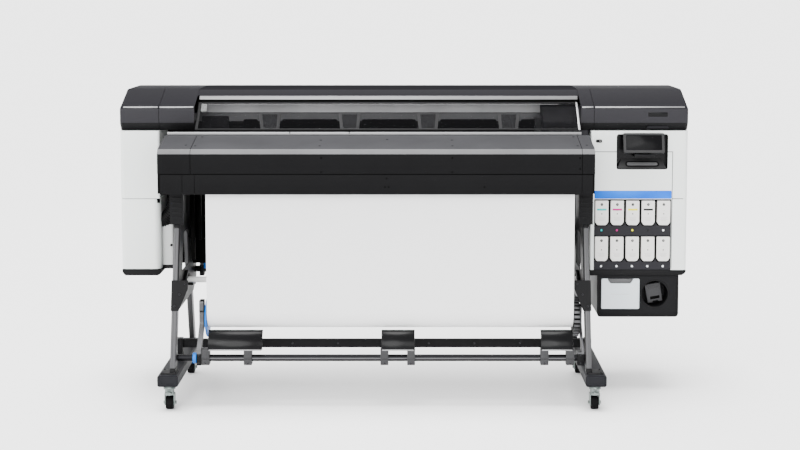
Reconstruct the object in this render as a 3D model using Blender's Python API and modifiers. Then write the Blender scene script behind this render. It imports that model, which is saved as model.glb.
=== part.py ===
"""Wide-format roll-to-roll printer and cutter on a stand with casters.

Metres, +Z up, the front faces -Y.  The origin is at the bottom centre of the whole machine.
Each named object is one physical piece.  Moving pieces have their origin on their joint's axis.
"""
import bpy
import bmesh
from math import cos, pi, radians, sin
from mathutils import Matrix, Vector

# ---------------------------------------------------------------- driving dimensions
WIDTH = 2.583
DEPTH = 0.830
HEIGHT = 1.389
GAP = 0.0005                 # between pieces that are fastened together
HALF_WIDTH = WIDTH / 2
BACK = DEPTH / 2
FRONT_OF_FEET = -DEPTH / 2

MEDIA_WIDTH = 1.626
MEDIA_CENTRE_X = -0.0605
MEDIA_LEFT = MEDIA_CENTRE_X - MEDIA_WIDTH / 2
MEDIA_RIGHT = MEDIA_CENTRE_X + MEDIA_WIDTH / 2

# stand
FOOT_X = (-1.0325, 0.842)    # centre of each foot beam
FOOT_WIDTH = 0.091
FOOT_LOW = 0.114
FOOT_TOP = 0.164
FOOT_BACK = 0.325
STRUT_X = (-1.016, 0.814)
STRUT_WIDTH = 0.025
STRUT_DEPTH = 0.056
STRUT_TOP = 0.800
FRONT_STRUT_FOOT_Y = -0.358
FRONT_STRUT_TOP_Y = -0.178
REAR_STRUT_FOOT_Y = 0.235
REAR_STRUT_TOP_Y = 0.055
KNEE_LOW = 0.430
KNEE_HIGH = 0.560
KNEE_INBOARD = 0.058         # reach of the knee plate from the strut, at its top
KNEE_FOOT = 0.020            # and at its lower edge
KNEE_LIP = 0.035             # height of its upright upper edge
CHASSIS_LOW = 0.9525

# casters
CASTER_Y = (-0.365, 0.275)
CASTER_TRAIL = 0.012
WHEEL_RADIUS = 0.030
WHEEL_WIDTH = 0.034
AXLE_RADIUS = 0.004
FORK_HALF_GAP = 0.0185
FORK_HALF_WIDTH = 0.0225

# roll holders
ROD_RADIUS = 0.015
TAKE_UP_ROD = (-0.315, 0.220)        # Y and Z of the rod's axis
TAKE_UP_AXIS = (-0.215, 0.385)
INPUT_ROD = (0.235, 0.520)
INPUT_AXIS = (0.235, 0.700)
FLANGE_RADIUS = 0.090
STUB_RADIUS = 0.010
ARM_HOLE_SLACK = 0.0005
TENSION_BAR_RADIUS = 0.0135
TAKE_UP_ARMS = ((-0.9155, -0.8965), (0.7860, 0.7955))    # X sides of the left and right arm
TAKE_UP_FEET = (-0.9155, 0.7665)                         # X where each arm's foot begins
INPUT_ARMS = ((-0.9750, -0.9560), (0.7720, 0.7950))
TENSION_BAR = (-0.065, 0.524)
STRUT_INNER = (STRUT_X[0] + STRUT_WIDTH / 2 + GAP, STRUT_X[1] - STRUT_WIDTH / 2 - GAP)
WEB_INNER = (STRUT_INNER[0] + 0.004 + GAP, STRUT_INNER[1] - 0.004 - GAP)

# printing section
TOWER_FRONT = -0.068
TOWER_BACK = 0.400
TOWER_TOP = 1.208
LEFT_TOWER_INNER = -1.112
RIGHT_TOWER_INNER = 0.851
LEFT_CAP_INNER = -0.952
RIGHT_CAP_INNER = 0.804
CAP_LOW = 1.2095
CAP_FACE_LOW = 1.2385
CAP_FACE_TOP = 1.315
RIDGE_Y = 0.126
SKIN = 0.003                 # thickness of moulded covers

# front module over the media
CURING_LEFT = -1.077
CURING_RIGHT = 0.836
CURING_FRONT = -0.350
CURING_BACK = -0.118
CURING_LOW = 0.953

# window and carriage
WINDOW_HINGE = (0.035, 1.330)
WINDOW_FOOT = (-0.105, 1.215)
WINDOW_THICKNESS = 0.004

# right tower
BAY_LEFT = 0.8675
BAY_RIGHT = 1.2185
BAY_TOP = 0.8945
BAY_LOW = 0.5695
CARTRIDGE_WIDTH = 0.060
CARTRIDGE_HEIGHT = 0.112
CARTRIDGE_LENGTH = 0.280
CARTRIDGE_PITCH = 0.0706
FIRST_CARTRIDGE_X = 0.9015
CARTRIDGE_ROWS = (0.776, 0.610)      # bottom of each row
RECESS = (0.966, 1.200, 1.031, 1.193)    # X from, X to, Z from, Z to
RAMP_TOP = 1.078
DISPLAY_HINGE = (-0.103, 1.1135)
DISPLAY_LEAN = radians(17.0)
BOX_LOW = 0.350
DRAWER = (0.9045, 1.0785, 0.387, 0.527)
CHAMBER = (1.149, 0.457, 0.060)      # X, Z and radius
HOLDER_TURN = radians(-10.0)         # the holder stands a little turned in its chamber
POWER_BUTTON = (0.886, 1.161)        # X and Z

BLACK = (0.012, 0.012, 0.013)
CHARCOAL = (0.045, 0.047, 0.050)
LIGHT_GREY = (0.42, 0.43, 0.44)
WHITE = (0.72, 0.73, 0.72)
BLUE = (0.02, 0.20, 0.52)


# ---------------------------------------------------------------- scene and helpers
for old in list(bpy.data.objects):
    bpy.data.objects.remove(old)

parts = bpy.data.collections.new("printer_cutter")
cutters = bpy.data.collections.new("cutters")
bpy.context.scene.collection.children.link(parts)
bpy.context.scene.collection.children.link(cutters)


def material(name, colour, roughness, metallic=0.0):
    made = bpy.data.materials.new(name)
    made.use_nodes = True
    shader = made.node_tree.nodes["Principled BSDF"]
    shader.inputs["Base Color"].default_value = (*colour, 1.0)
    shader.inputs["Roughness"].default_value = roughness
    shader.inputs["Metallic"].default_value = metallic
    return made


def place(thing, name, colour=None, roughness=0.5, metallic=0.0):
    """Name a finished piece and give it its own material."""
    thing.name = name
    thing.data.name = name
    thing.data.materials.clear()
    thing.data.materials.append(material(name, colour, roughness, metallic))
    for collection in list(thing.users_collection):
        collection.objects.unlink(thing)
    parts.objects.link(thing)
    return thing


def as_tool(thing):
    """Turn an object into a hidden operand of a Boolean."""
    for collection in list(thing.users_collection):
        collection.objects.unlink(thing)
    cutters.objects.link(thing)
    thing.hide_render = True
    thing.display_type = "WIRE"
    return thing


def combine(thing, tool, operation):
    as_tool(tool)
    boolean = thing.modifiers.new(operation.lower(), "BOOLEAN")
    boolean.operation = operation
    boolean.solver = "EXACT"
    boolean.object = tool
    return thing


def cut(thing, tool):
    return combine(thing, tool, "DIFFERENCE")


def join(thing, tool):
    return combine(thing, tool, "UNION")


def new_object(mesh, name):
    thing = bpy.data.objects.new(name, mesh)
    cutters.objects.link(thing)
    return thing


def box(low, high, bevel=0.0, segments=1, pivot=(0.0, 0.0, 0.0)):
    """A block between two corners, with its origin at the pivot."""
    shape = bmesh.new()
    bmesh.ops.create_cube(shape, size=1.0)
    low = Vector(low) - Vector(pivot)
    high = Vector(high) - Vector(pivot)
    bmesh.ops.scale(shape, vec=high - low, verts=shape.verts)
    bmesh.ops.translate(shape, vec=(high + low) / 2, verts=shape.verts)
    mesh = bpy.data.meshes.new("block")
    shape.to_mesh(mesh)
    shape.free()
    thing = new_object(mesh, "block")
    thing.location = pivot
    if bevel:
        soften(thing, bevel, segments)
    return thing


def soften(thing, width, segments=1):
    bevel = thing.modifiers.new("soft_edges", "BEVEL")
    bevel.width = width
    bevel.segments = segments
    bevel.limit_method = "ANGLE"
    return thing


def thicken(thing, thickness, outward=False):
    solid = thing.modifiers.new("skin", "SOLIDIFY")
    solid.thickness = thickness
    solid.offset = 1.0 if outward else -1.0
    solid.use_even_offset = True
    return thing


def drop_faces(thing, directions):
    """Remove the faces of a mesh that look along any of the given directions."""
    shape = bmesh.new()
    shape.from_mesh(thing.data)
    shape.normal_update()
    gone = [face for face in shape.faces
            if any(face.normal.dot(Vector(way)) > 0.99 for way in directions)]
    bmesh.ops.delete(shape, geom=gone, context="FACES")
    shape.to_mesh(thing.data)
    shape.free()
    return thing


def arc(centre, radius, start, end, steps):
    """Points along an arc, angles in degrees."""
    points = []
    for step in range(steps + 1):
        angle = radians(start + (end - start) * step / steps)
        points.append((centre[0] + radius * cos(angle), centre[1] + radius * sin(angle)))
    return points


def rounded(corners, radius, steps=2):
    """An outline with each corner replaced by a short curve."""
    points = []
    count = len(corners)
    for index, corner in enumerate(corners):
        here = Vector(corner)
        start = here + (Vector(corners[index - 1]) - here).normalized() * radius
        end = here + (Vector(corners[(index + 1) % count]) - here).normalized() * radius
        for step in range(steps + 1):
            share = step / steps
            point = start.lerp(here, share).lerp(here.lerp(end, share), share)
            points.append((point.x, point.y))
    return points


def plate(outline, axis, low, high, pivot=(0.0, 0.0, 0.0)):
    """A flat outline extruded between two places along an axis.

    The outline's points are (Y, Z) for axis X, (X, Z) for axis Y and (X, Y) for axis Z.
    """
    curve = bpy.data.curves.new("outline", "CURVE")
    curve.dimensions = "2D"
    curve.fill_mode = "BOTH"
    curve.extrude = (high - low) / 2
    spline = curve.splines.new("POLY")
    spline.points.add(len(outline) - 1)
    for point, place_2d in zip(spline.points, outline):
        point.co = (place_2d[0], place_2d[1], 0.0, 1.0)
    spline.use_cyclic_u = True
    drawn = bpy.data.objects.new("outline", curve)
    cutters.objects.link(drawn)
    middle = (high + low) / 2
    turns = {
        "X": Matrix(((0, 0, 1, middle), (1, 0, 0, 0), (0, 1, 0, 0), (0, 0, 0, 1))),
        "Y": Matrix(((1, 0, 0, 0), (0, 0, -1, middle), (0, 1, 0, 0), (0, 0, 0, 1))),
        "Z": Matrix.Translation((0, 0, middle)),
    }
    bpy.context.view_layer.update()
    graph = bpy.context.evaluated_depsgraph_get()
    mesh = bpy.data.meshes.new_from_object(drawn.evaluated_get(graph))
    bpy.data.objects.remove(drawn)
    mesh.transform(Matrix.Translation(-Vector(pivot)) @ turns[axis])
    shape = bmesh.new()
    shape.from_mesh(mesh)
    bmesh.ops.remove_doubles(shape, verts=shape.verts, dist=0.00001)
    bmesh.ops.dissolve_limit(shape, angle_limit=0.001, verts=shape.verts, edges=shape.edges)
    bmesh.ops.recalc_face_normals(shape, faces=shape.faces)
    shape.to_mesh(mesh)
    shape.free()
    thing = new_object(mesh, "plate")
    thing.location = pivot
    return thing


AXIS_TURN = {
    "X": Matrix.Rotation(pi / 2, 4, "Y"),
    "Y": Matrix.Rotation(-pi / 2, 4, "X"),
    "Z": Matrix.Identity(4),
}


def cylinder(axis, centre, radius, length, segments=24):
    shape = bmesh.new()
    bmesh.ops.create_cone(shape, cap_ends=True, segments=segments, radius1=radius,
                          radius2=radius, depth=length)
    mesh = bpy.data.meshes.new("cylinder")
    shape.to_mesh(mesh)
    shape.free()
    mesh.transform(AXIS_TURN[axis])
    thing = new_object(mesh, "cylinder")
    thing.location = centre
    return thing


def turned(profile, axis, centre, segments=24, closed=False):
    """A turned piece: (radius, height along the axis) points, down the outer side."""
    mesh = bpy.data.meshes.new("turned")
    count = len(profile)
    edges = [(index, index + 1) for index in range(count - 1)]
    if closed:
        edges.append((count - 1, 0))
    mesh.from_pydata([(radius, 0.0, height) for radius, height in profile], edges, [])
    thing = new_object(mesh, "turned")
    thing.matrix_world = Matrix.Translation(centre) @ AXIS_TURN[axis]
    screw = thing.modifiers.new("turn", "SCREW")
    screw.axis = "Z"
    screw.steps = segments
    screw.render_steps = segments
    screw.use_merge_vertices = True
    screw.merge_threshold = 0.00001
    return thing


def between(low_point, high_point, z):
    """Y on the straight line through two (Y, Z) points at a given height."""
    share = (z - low_point[1]) / (high_point[1] - low_point[1])
    return low_point[0] + share * (high_point[0] - low_point[0])


# ---------------------------------------------------------------- stand
def foot_beam(side, x):
    half = FOOT_WIDTH / 2
    beam = box((x - half, FRONT_OF_FEET, FOOT_LOW), (x + half, FOOT_BACK, FOOT_TOP))
    drop_faces(beam, [(0, -1, 0), (0, 1, 0)])
    soften(beam, 0.006)
    thicken(beam, SKIN)
    place(beam, side + "_foot_beam", CHARCOAL, 0.5)


def strut(side, end, x, foot_y, top_y):
    half = STRUT_DEPTH / 2
    foot = FOOT_TOP + GAP
    outline = [(foot_y - half, foot), (foot_y + half, foot),
               (top_y + half, STRUT_TOP), (top_y - half, STRUT_TOP)]
    bar = plate(outline, "X", x - STRUT_WIDTH / 2, x + STRUT_WIDTH / 2)
    soften(bar, 0.004)
    place(bar, side + "_" + end + "_strut", LIGHT_GREY, 0.4, 0.6)


def front_face_y(z):
    """Front face of the front strut at a height."""
    centre = between((FRONT_STRUT_FOOT_Y, FOOT_TOP), (FRONT_STRUT_TOP_Y, STRUT_TOP), z)
    return centre - STRUT_DEPTH / 2


def leg_bracket(side, x, inward):
    """Web beside the struts, knee plate in front of them and a folded head under the chassis."""
    web_face = x + inward * (STRUT_WIDTH / 2 + GAP)
    web_far = web_face + inward * 0.004
    proud = GAP + 0.0035
    top = CHASSIS_LOW - GAP
    web_outline = [
        (front_face_y(KNEE_LOW) - proud, KNEE_LOW),
        (0.170, KNEE_LOW),
        (0.268, 0.485),
        (0.268, 0.560),
        (0.100, STRUT_TOP),
        (0.100, top),
        (-0.210, top),
        (-0.210, STRUT_TOP),
    ]
    bracket = plate(web_outline, "X", min(web_face, web_far), max(web_face, web_far))
    window = plate([(-0.175, 0.585), (0.030, 0.585), (0.010, 0.750), (-0.115, 0.750)],
                   "X", x - 0.05, x + 0.05)
    cut(bracket, window)
    knee_outline = [
        (front_face_y(KNEE_LOW) - GAP - 0.004, KNEE_LOW),
        (front_face_y(KNEE_LOW) - GAP, KNEE_LOW),
        (front_face_y(KNEE_HIGH) - GAP, KNEE_HIGH),
        (front_face_y(KNEE_HIGH) - GAP - 0.004, KNEE_HIGH),
    ]
    knee_sides = (x - inward * 0.015, x + inward * KNEE_INBOARD)
    knee = plate(knee_outline, "X", min(knee_sides), max(knee_sides))
    past = x + inward * (KNEE_INBOARD + 0.001)
    corner = [(past, KNEE_LOW - 0.001), (past, KNEE_HIGH - KNEE_LIP),
              (x + inward * KNEE_FOOT, KNEE_LOW - 0.001)]
    cut(knee, plate(corner, "Y", -0.350, -0.250))
    join(bracket, knee)
    head_sides = (x - inward * 0.030, x + inward * 0.032)
    left = min(head_sides)
    right = max(head_sides)
    low = STRUT_TOP + GAP
    join(bracket, box((left, -0.2125, low), (right, -0.208, top)))
    join(bracket, box((left, 0.0975, low), (right, 0.102, top)))
    join(bracket, box((left, -0.211, top - 0.005), (right, 0.101, top)))
    hook_sides = (web_far - inward * 0.002, web_far + inward * 0.035)
    hook_y = TENSION_BAR[0]
    hook_top = TENSION_BAR[1] - TENSION_BAR_RADIUS - GAP
    join(bracket, box((min(hook_sides), hook_y - 0.020, hook_top - 0.008),
                      (max(hook_sides), hook_y + 0.020, hook_top)))
    place(bracket, side + "_leg_bracket", BLACK, 0.5, 0.3)


def cross_brace():
    y = -0.049
    left = FOOT_X[0] - 0.020
    right = FOOT_X[1] + 0.020
    brace = box((left, y - 0.006, 0.205), (right, y + 0.006, 0.245))
    for x in FOOT_X:
        join(brace, box((x - 0.014, y - 0.018, FOOT_TOP + GAP), (x + 0.014, y + 0.018, 0.249)))
    place(brace, "cross_brace", BLACK, 0.5, 0.3)


def rod(name, position, radius, colour, roughness, metallic, ends):
    left, right = ends
    centre = ((left + right) / 2, position[0], position[1])
    place(cylinder("X", centre, radius, right - left), name, colour, roughness, metallic)


# ---------------------------------------------------------------- casters
def caster(name, x, y):
    """Swivelling fork with its axle, and the wheel that turns on it."""
    top = FOOT_LOW - GAP
    axle_y = y + CASTER_TRAIL
    crown = WHEEL_RADIUS * 2 + 0.006
    outline = [
        (x - FORK_HALF_WIDTH, 0.020), (x - FORK_HALF_GAP, 0.020),
        (x - FORK_HALF_GAP, crown), (x + FORK_HALF_GAP, crown),
        (x + FORK_HALF_GAP, 0.020), (x + FORK_HALF_WIDTH, 0.020),
        (x + FORK_HALF_WIDTH, crown + 0.006), (x - FORK_HALF_WIDTH, crown + 0.006),
    ]
    pivot = (x, y, top)
    fork = plate(outline, "Y", axle_y - 0.018, axle_y + 0.014, pivot)
    join(fork, cylinder("Z", (x, y, (crown + top) / 2 + 0.001), 0.021, top - crown - 0.002, 20))
    join(fork, box((x - 0.032, y - 0.032, top - 0.004), (x + 0.032, y + 0.032, top)))
    axle = (x, axle_y, WHEEL_RADIUS)
    join(fork, cylinder("X", axle, AXLE_RADIUS, 2 * FORK_HALF_WIDTH + 0.004, 16))
    place(fork, name + "_caster_fork", LIGHT_GREY, 0.35, 0.9)

    half = WHEEL_WIDTH / 2
    bore = AXLE_RADIUS + 0.0002
    profile = [(WHEEL_RADIUS - 0.004, half), (WHEEL_RADIUS, half - 0.006),
               (WHEEL_RADIUS, 0.006 - half), (WHEEL_RADIUS - 0.004, -half),
               (bore, -half), (bore, half)]
    place(turned(profile, "X", axle, 32, closed=True), name + "_caster_wheel", BLACK, 0.7)


# ---------------------------------------------------------------- roll holders
def roll_arm(name, sides, rod_place, axis_place, top_z, foot_from):
    """Flat arm clamped on a rod by a foot, carrying a stub shaft at its upper end."""
    low, high = sides
    half = 0.026
    foot = rod_place[1] - 0.030
    outline = rounded([
        (rod_place[0] - half, foot), (rod_place[0] + half, foot),
        (rod_place[0] + half, rod_place[1] + 0.035),
        (axis_place[0] + half, axis_place[1] - 0.030),
        (axis_place[0] + half, top_z), (axis_place[0] - half, top_z),
        (axis_place[0] - half, axis_place[1] - 0.030),
        (rod_place[0] - half, rod_place[1] + 0.035),
    ], 0.010)
    arm = plate(outline, "X", low, high)
    if foot_from < low:
        join(arm, box((foot_from, rod_place[0] - half + 0.001, foot + 0.001),
                      (low + 0.002, rod_place[0] + half - 0.001, rod_place[1] + 0.030)))
    middle = (foot_from + high) / 2
    through = high - foot_from + 0.02
    cut(arm, cylinder("X", (middle, *rod_place), ROD_RADIUS + ARM_HOLE_SLACK, through))
    cut(arm, cylinder("X", (middle, *axis_place), STUB_RADIUS + ARM_HOLE_SLACK, through))
    place(arm, name, LIGHT_GREY, 0.4, 0.5)


def take_up_spindle(arms):
    """Core between two flanges, turning on stub shafts in the arms."""
    left_arm, right_arm = arms
    core = 0.045
    left_face = MEDIA_LEFT - 0.002
    right_face = MEDIA_RIGHT + 0.002
    profile = [
        (0.0, right_arm[1]), (STUB_RADIUS, right_arm[1]), (STUB_RADIUS, right_arm[0] - 0.0015),
        (FLANGE_RADIUS * 0.6, right_arm[0] - 0.0015), (FLANGE_RADIUS, right_arm[0] - 0.0040),
        (FLANGE_RADIUS, right_face), (core, right_face), (core, left_face),
        (FLANGE_RADIUS, left_face), (FLANGE_RADIUS, left_face - 0.006),
        (FLANGE_RADIUS * 0.6, left_arm[1] + 0.0015), (STUB_RADIUS, left_arm[1] + 0.0015),
        (STUB_RADIUS, left_arm[0]), (0.0, left_arm[0]),
    ]
    place(turned(profile, "X", (0.0, *TAKE_UP_AXIS), 28), "take_up_spindle", BLUE, 0.4)


def input_spindle(arms):
    left_arm, right_arm = arms
    plug = 0.036
    shaft = 0.018
    plug_length = 0.060
    left_face = MEDIA_LEFT - 0.002
    right_face = MEDIA_RIGHT + 0.002
    profile = [
        (0.0, right_arm[1]), (STUB_RADIUS, right_arm[1]), (STUB_RADIUS, right_arm[0] - 0.0015),
        (FLANGE_RADIUS * 0.6, right_arm[0] - 0.0015), (FLANGE_RADIUS, right_face + 0.004),
        (FLANGE_RADIUS, right_face), (plug, right_face), (plug, right_face - plug_length),
        (shaft, right_face - plug_length - 0.010), (shaft, left_face + plug_length + 0.010),
        (plug, left_face + plug_length), (plug, left_face), (FLANGE_RADIUS, left_face),
        (FLANGE_RADIUS, left_face - 0.006), (FLANGE_RADIUS * 0.6, left_face - 0.014),
        (0.030, left_face - 0.020), (0.030, left_arm[1] + 0.0015),
        (STUB_RADIUS, left_arm[1] + 0.0015), (STUB_RADIUS, left_arm[0]), (0.0, left_arm[0]),
    ]
    place(turned(profile, "X", (0.0, *INPUT_AXIS), 28), "input_spindle", BLUE, 0.4)
    outer = 0.075
    inner = 0.0375
    ring = [(outer, MEDIA_RIGHT), (outer, MEDIA_LEFT), (inner, MEDIA_LEFT), (inner, MEDIA_RIGHT)]
    place(turned(ring, "X", (0.0, *INPUT_AXIS), 32, closed=True), "media_roll", WHITE, 0.5)


def media_sheet():
    """Web of media from the front module, down and back to the underside of the core."""
    front_y = -0.3000
    thick = 0.0010
    top = 1.060
    end_y = TAKE_UP_AXIS[0]
    bend = abs(front_y - end_y)
    low_z = TAKE_UP_AXIS[1] - 0.045 - 0.0015 - thick
    bend_z = low_z + bend
    outer = arc((end_y, bend_z), bend, 180, 270, 8)
    inner = arc((end_y, bend_z), bend - thick, 270, 180, 8)
    outline = [(front_y, top)] + outer + inner + [(front_y + thick, top)]
    sheet = plate(outline, "X", MEDIA_LEFT, MEDIA_RIGHT)
    place(sheet, "media_sheet", WHITE, 0.4)


def deflector(name, left, right, clamp_centres):
    """Curved guide plate held on the front rod by two split clamps."""
    rod_y, rod_z = TAKE_UP_ROD
    face = arc((rod_y + 0.075, 0.258), 0.100, 180, 122, 6)
    back = arc((rod_y + 0.075, 0.258), 0.0965, 122, 180, 6)
    shield = plate(face + back, "X", left, right)
    for centre in clamp_centres:
        clamp = box((centre - 0.018, rod_y - 0.026, rod_z - 0.030),
                    (centre + 0.018, rod_y + 0.022, rod_z + 0.044))
        join(shield, clamp)
    cut(shield, cylinder("X", ((left + right) / 2, rod_y, rod_z),
                         ROD_RADIUS + ARM_HOLE_SLACK, right - left + 0.2))
    place(shield, name, BLACK, 0.35)


# ---------------------------------------------------------------- printing section
def chassis_beam():
    """Folded channel between the towers with a raised bed for the media."""
    outline = [(-0.100, CHASSIS_LOW), (-0.100, 1.085), (-0.060, 1.085), (-0.060, 1.120),
               (0.080, 1.120), (0.080, 1.085), (0.210, 1.085), (0.210, CHASSIS_LOW)]
    beam = plate(outline, "X", LEFT_TOWER_INNER + GAP, RIGHT_TOWER_INNER - GAP)
    drop_faces(beam, [(0, 0, -1), (1, 0, 0), (-1, 0, 0)])
    thicken(beam, SKIN)
    place(beam, "chassis_beam", CHARCOAL, 0.5, 0.5)


def carriage_rail():
    rail = box((LEFT_TOWER_INNER + 0.004, 0.1300, 1.2350), (0.8450, 0.1600, 1.2750), 0.002)
    place(rail, "carriage_rail", LIGHT_GREY, 0.25, 1.0)


def print_carriage():
    outline = [(-0.035, 1.132), (0.1290, 1.132), (0.1290, 1.315), (0.060, 1.315), (-0.035, 1.245)]
    carriage = plate(outline, "X", 0.602, 0.842)
    soften(carriage, 0.006)
    place(carriage, "print_carriage", CHARCOAL, 0.45)


def curing_housing():
    """Long folded hood in front of the bed, open underneath where the media leaves it."""
    outline = [(CURING_FRONT, CURING_LOW), (CURING_FRONT, 1.131), (-0.335, 1.151),
               (-0.125, 1.193), (CURING_BACK, 1.193), (CURING_BACK, CURING_LOW)]
    housing = plate(outline, "X", CURING_LEFT, CURING_RIGHT)
    drop_faces(housing, [(0, 0, -1)])
    thicken(housing, SKIN)
    place(housing, "curing_housing", BLACK, 0.35)


def hood():
    """Top cover between the two end caps, open in front over the window."""
    outline = [(0.050, 1.3605), (RIDGE_Y, HEIGHT), (BACK, HEIGHT), (BACK, CAP_LOW),
               (0.050, CAP_LOW)]
    cover = plate(outline, "X", LEFT_CAP_INNER + GAP, RIGHT_CAP_INNER - GAP)
    drop_faces(cover, [(0, 0, -1), (1, 0, 0), (-1, 0, 0), (0, -1, 0)])
    thicken(cover, SKIN)
    place(cover, "hood", CHARCOAL, 0.45)


def hood_cap(side, outer, inner):
    outline = [(TOWER_FRONT, CAP_FACE_LOW), (TOWER_FRONT, CAP_FACE_TOP), (RIDGE_Y, HEIGHT),
               (BACK, HEIGHT), (BACK, CAP_LOW), (-0.045, CAP_LOW)]
    cap = plate(outline, "X", min(outer, inner), max(outer, inner))
    inward = 1.0 if inner > outer else -1.0
    drop_faces(cap, [(0, 0, -1), (inward, 0, 0)])
    soften(cap, 0.008)
    thicken(cap, SKIN)
    place(cap, side + "_hood_cap", CHARCOAL, 0.45)


def rear_cover():
    """Back wall below the hood, curving in towards the rear roll."""
    outline = [(BACK, CAP_LOW - 0.0015), (BACK, 1.060), (0.360, 0.960), (0.2135, 0.960),
               (0.2135, CAP_LOW - 0.0015)]
    cover = plate(outline, "X", LEFT_TOWER_INNER + GAP, RIGHT_TOWER_INNER - GAP)
    drop_faces(cover, [(0, 0, 1), (1, 0, 0), (-1, 0, 0), (0, -1, 0), (0, 0, -1)])
    thicken(cover, SKIN)
    place(cover, "rear_cover", CHARCOAL, 0.5)


def front_window():
    """Clear lid hinged along its upper edge."""
    along = Vector(WINDOW_FOOT) - Vector(WINDOW_HINGE)
    length = along.length
    along.normalize()
    across = Vector((-along.y, along.x)) * (WINDOW_THICKNESS / 2)
    top = Vector(WINDOW_HINGE)
    foot = top + along * length
    outline = [tuple(top + across), tuple(foot + across), tuple(foot - across), tuple(top - across)]
    pivot = (0.0, *WINDOW_HINGE)
    lid = plate(outline, "X", LEFT_CAP_INNER + 0.007, RIGHT_CAP_INNER - 0.007, pivot)
    place(lid, "front_window", CHARCOAL, 0.08)


# ---------------------------------------------------------------- towers
def left_tower():
    low = (-HALF_WIDTH, TOWER_FRONT, 0.573)
    high = (LEFT_TOWER_INNER, TOWER_BACK, TOWER_TOP)
    cover = box(low, high)
    drop_faces(cover, [(0, 0, -1)])
    soften(cover, 0.014, 2)
    thicken(cover, SKIN)
    place(cover, "left_tower_cover", WHITE, 0.4)
    base = rounded([(low[0] + 0.001, 0.573 - GAP), (high[0], 0.573 - GAP),
                    (high[0], 0.542), (low[0] + 0.001, 0.542)], 0.010)
    tray = plate(base, "Y", TOWER_FRONT + 0.001, TOWER_BACK)
    place(tray, "left_tower_base", BLACK, 0.5)


def right_tower():
    left, right, low, high = RECESS
    cover = box((RIGHT_TOWER_INNER, TOWER_FRONT, 0.5685), (HALF_WIDTH, TOWER_BACK, TOWER_TOP))
    drop_faces(cover, [(0, 0, -1)])
    soften(cover, 0.014, 2)
    thicken(cover, SKIN)
    cut(cover, box((BAY_LEFT - GAP, TOWER_FRONT - 0.02, 0.50),
                   (BAY_RIGHT + GAP, TOWER_FRONT + 0.016, BAY_TOP + GAP)))
    cut(cover, box((left, TOWER_FRONT - 0.02, low), (right, TOWER_FRONT + 0.016, high)))
    button_x, button_z = POWER_BUTTON
    cut(cover, box((button_x - 0.0145, TOWER_FRONT - 0.02, button_z - 0.0075),
                   (button_x + 0.0145, TOWER_FRONT + 0.016, button_z + 0.0075)))
    tray = box((left - 0.002, TOWER_FRONT + 0.001, low - 0.002),
               (right + 0.002, TOWER_FRONT + 0.042, high + 0.002))
    cut(tray, box((left, TOWER_FRONT - 0.02, low), (right, TOWER_FRONT + 0.040, high)))
    join(cover, tray)
    ramp = plate([(TOWER_FRONT + 0.041, low - 0.001), (TOWER_FRONT + 0.003, low - 0.001),
                  (TOWER_FRONT + 0.003, low + 0.003), (TOWER_FRONT + 0.041, RAMP_TOP)],
                 "X", left - 0.001, right + 0.001)
    join(cover, ramp)
    middle = (left + right) / 2 + 0.003
    join(cover, box((middle - 0.045, DISPLAY_HINGE[0] - 0.010, 1.092),
                    (middle + 0.045, TOWER_FRONT + 0.041, 1.104)))
    place(cover, "right_tower_cover", WHITE, 0.4)
    base = rounded([(RIGHT_TOWER_INNER, BAY_LOW - 0.0015), (HALF_WIDTH - 0.001, BAY_LOW - 0.0015),
                    (HALF_WIDTH - 0.001, 0.542), (RIGHT_TOWER_INNER, 0.542)], 0.010)
    tray = plate(base, "Y", TOWER_FRONT + 0.001, TOWER_BACK)
    place(tray, "right_tower_base", BLACK, 0.5)


def power_button():
    x, z = POWER_BUTTON
    cap = box((x - 0.0135, TOWER_FRONT - 0.0040, z - 0.0065),
              (x + 0.0135, TOWER_FRONT + 0.0100, z + 0.0065), 0.0015, 1, (x, TOWER_FRONT, z))
    place(cap, "power_button", BLACK, 0.4)


def display_panel():
    """Flat touch display hinged along its lower edge, leaning back on the console's sill."""
    pivot = (1.086, *DISPLAY_HINGE)
    half_width = 0.093
    thick = 0.013
    height = 0.088
    foot = 0.004
    panel = box((pivot[0] - half_width, pivot[1] - thick / 2, pivot[2] - foot),
                (pivot[0] + half_width, pivot[1] + thick / 2, pivot[2] + height), 0.003, 1, pivot)
    panel.rotation_euler = (-DISPLAY_LEAN, 0.0, 0.0)
    place(panel, "display_panel", CHARCOAL, 0.3)


def cartridge_outline(x, z):
    half = CARTRIDGE_WIDTH / 2
    cut_x = 0.010
    cut_z = 0.014
    return [(x - half, z + cut_z), (x - half + cut_x, z), (x + half - cut_x, z),
            (x + half, z + cut_z), (x + half, z + CARTRIDGE_HEIGHT), (x - half, z + CARTRIDGE_HEIGHT)]


def ink_section():
    """Rack with one pocket for each cartridge, and the cartridges in two rows."""
    rack = box((BAY_LEFT, TOWER_FRONT + 0.004, BAY_LOW), (BAY_RIGHT, 0.245, BAY_TOP))
    front = TOWER_FRONT - 0.004
    slack = 0.001
    for row, z in enumerate(CARTRIDGE_ROWS):
        for column in range(5):
            x = FIRST_CARTRIDGE_X + column * CARTRIDGE_PITCH
            half = CARTRIDGE_WIDTH / 2 + slack
            cut(rack, box((x - half, TOWER_FRONT - 0.02, z - slack),
                          (x + half, 0.235, z + CARTRIDGE_HEIGHT + slack)))
            pivot = (x, front, z)
            body = plate(cartridge_outline(x, z), "Y", front, front + CARTRIDGE_LENGTH, pivot)
            name = "ink_cartridge_" + str(row * 5 + column + 1)
            place(body, name, WHITE, 0.4)
    place(rack, "ink_bay", CHARCOAL, 0.6)


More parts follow.
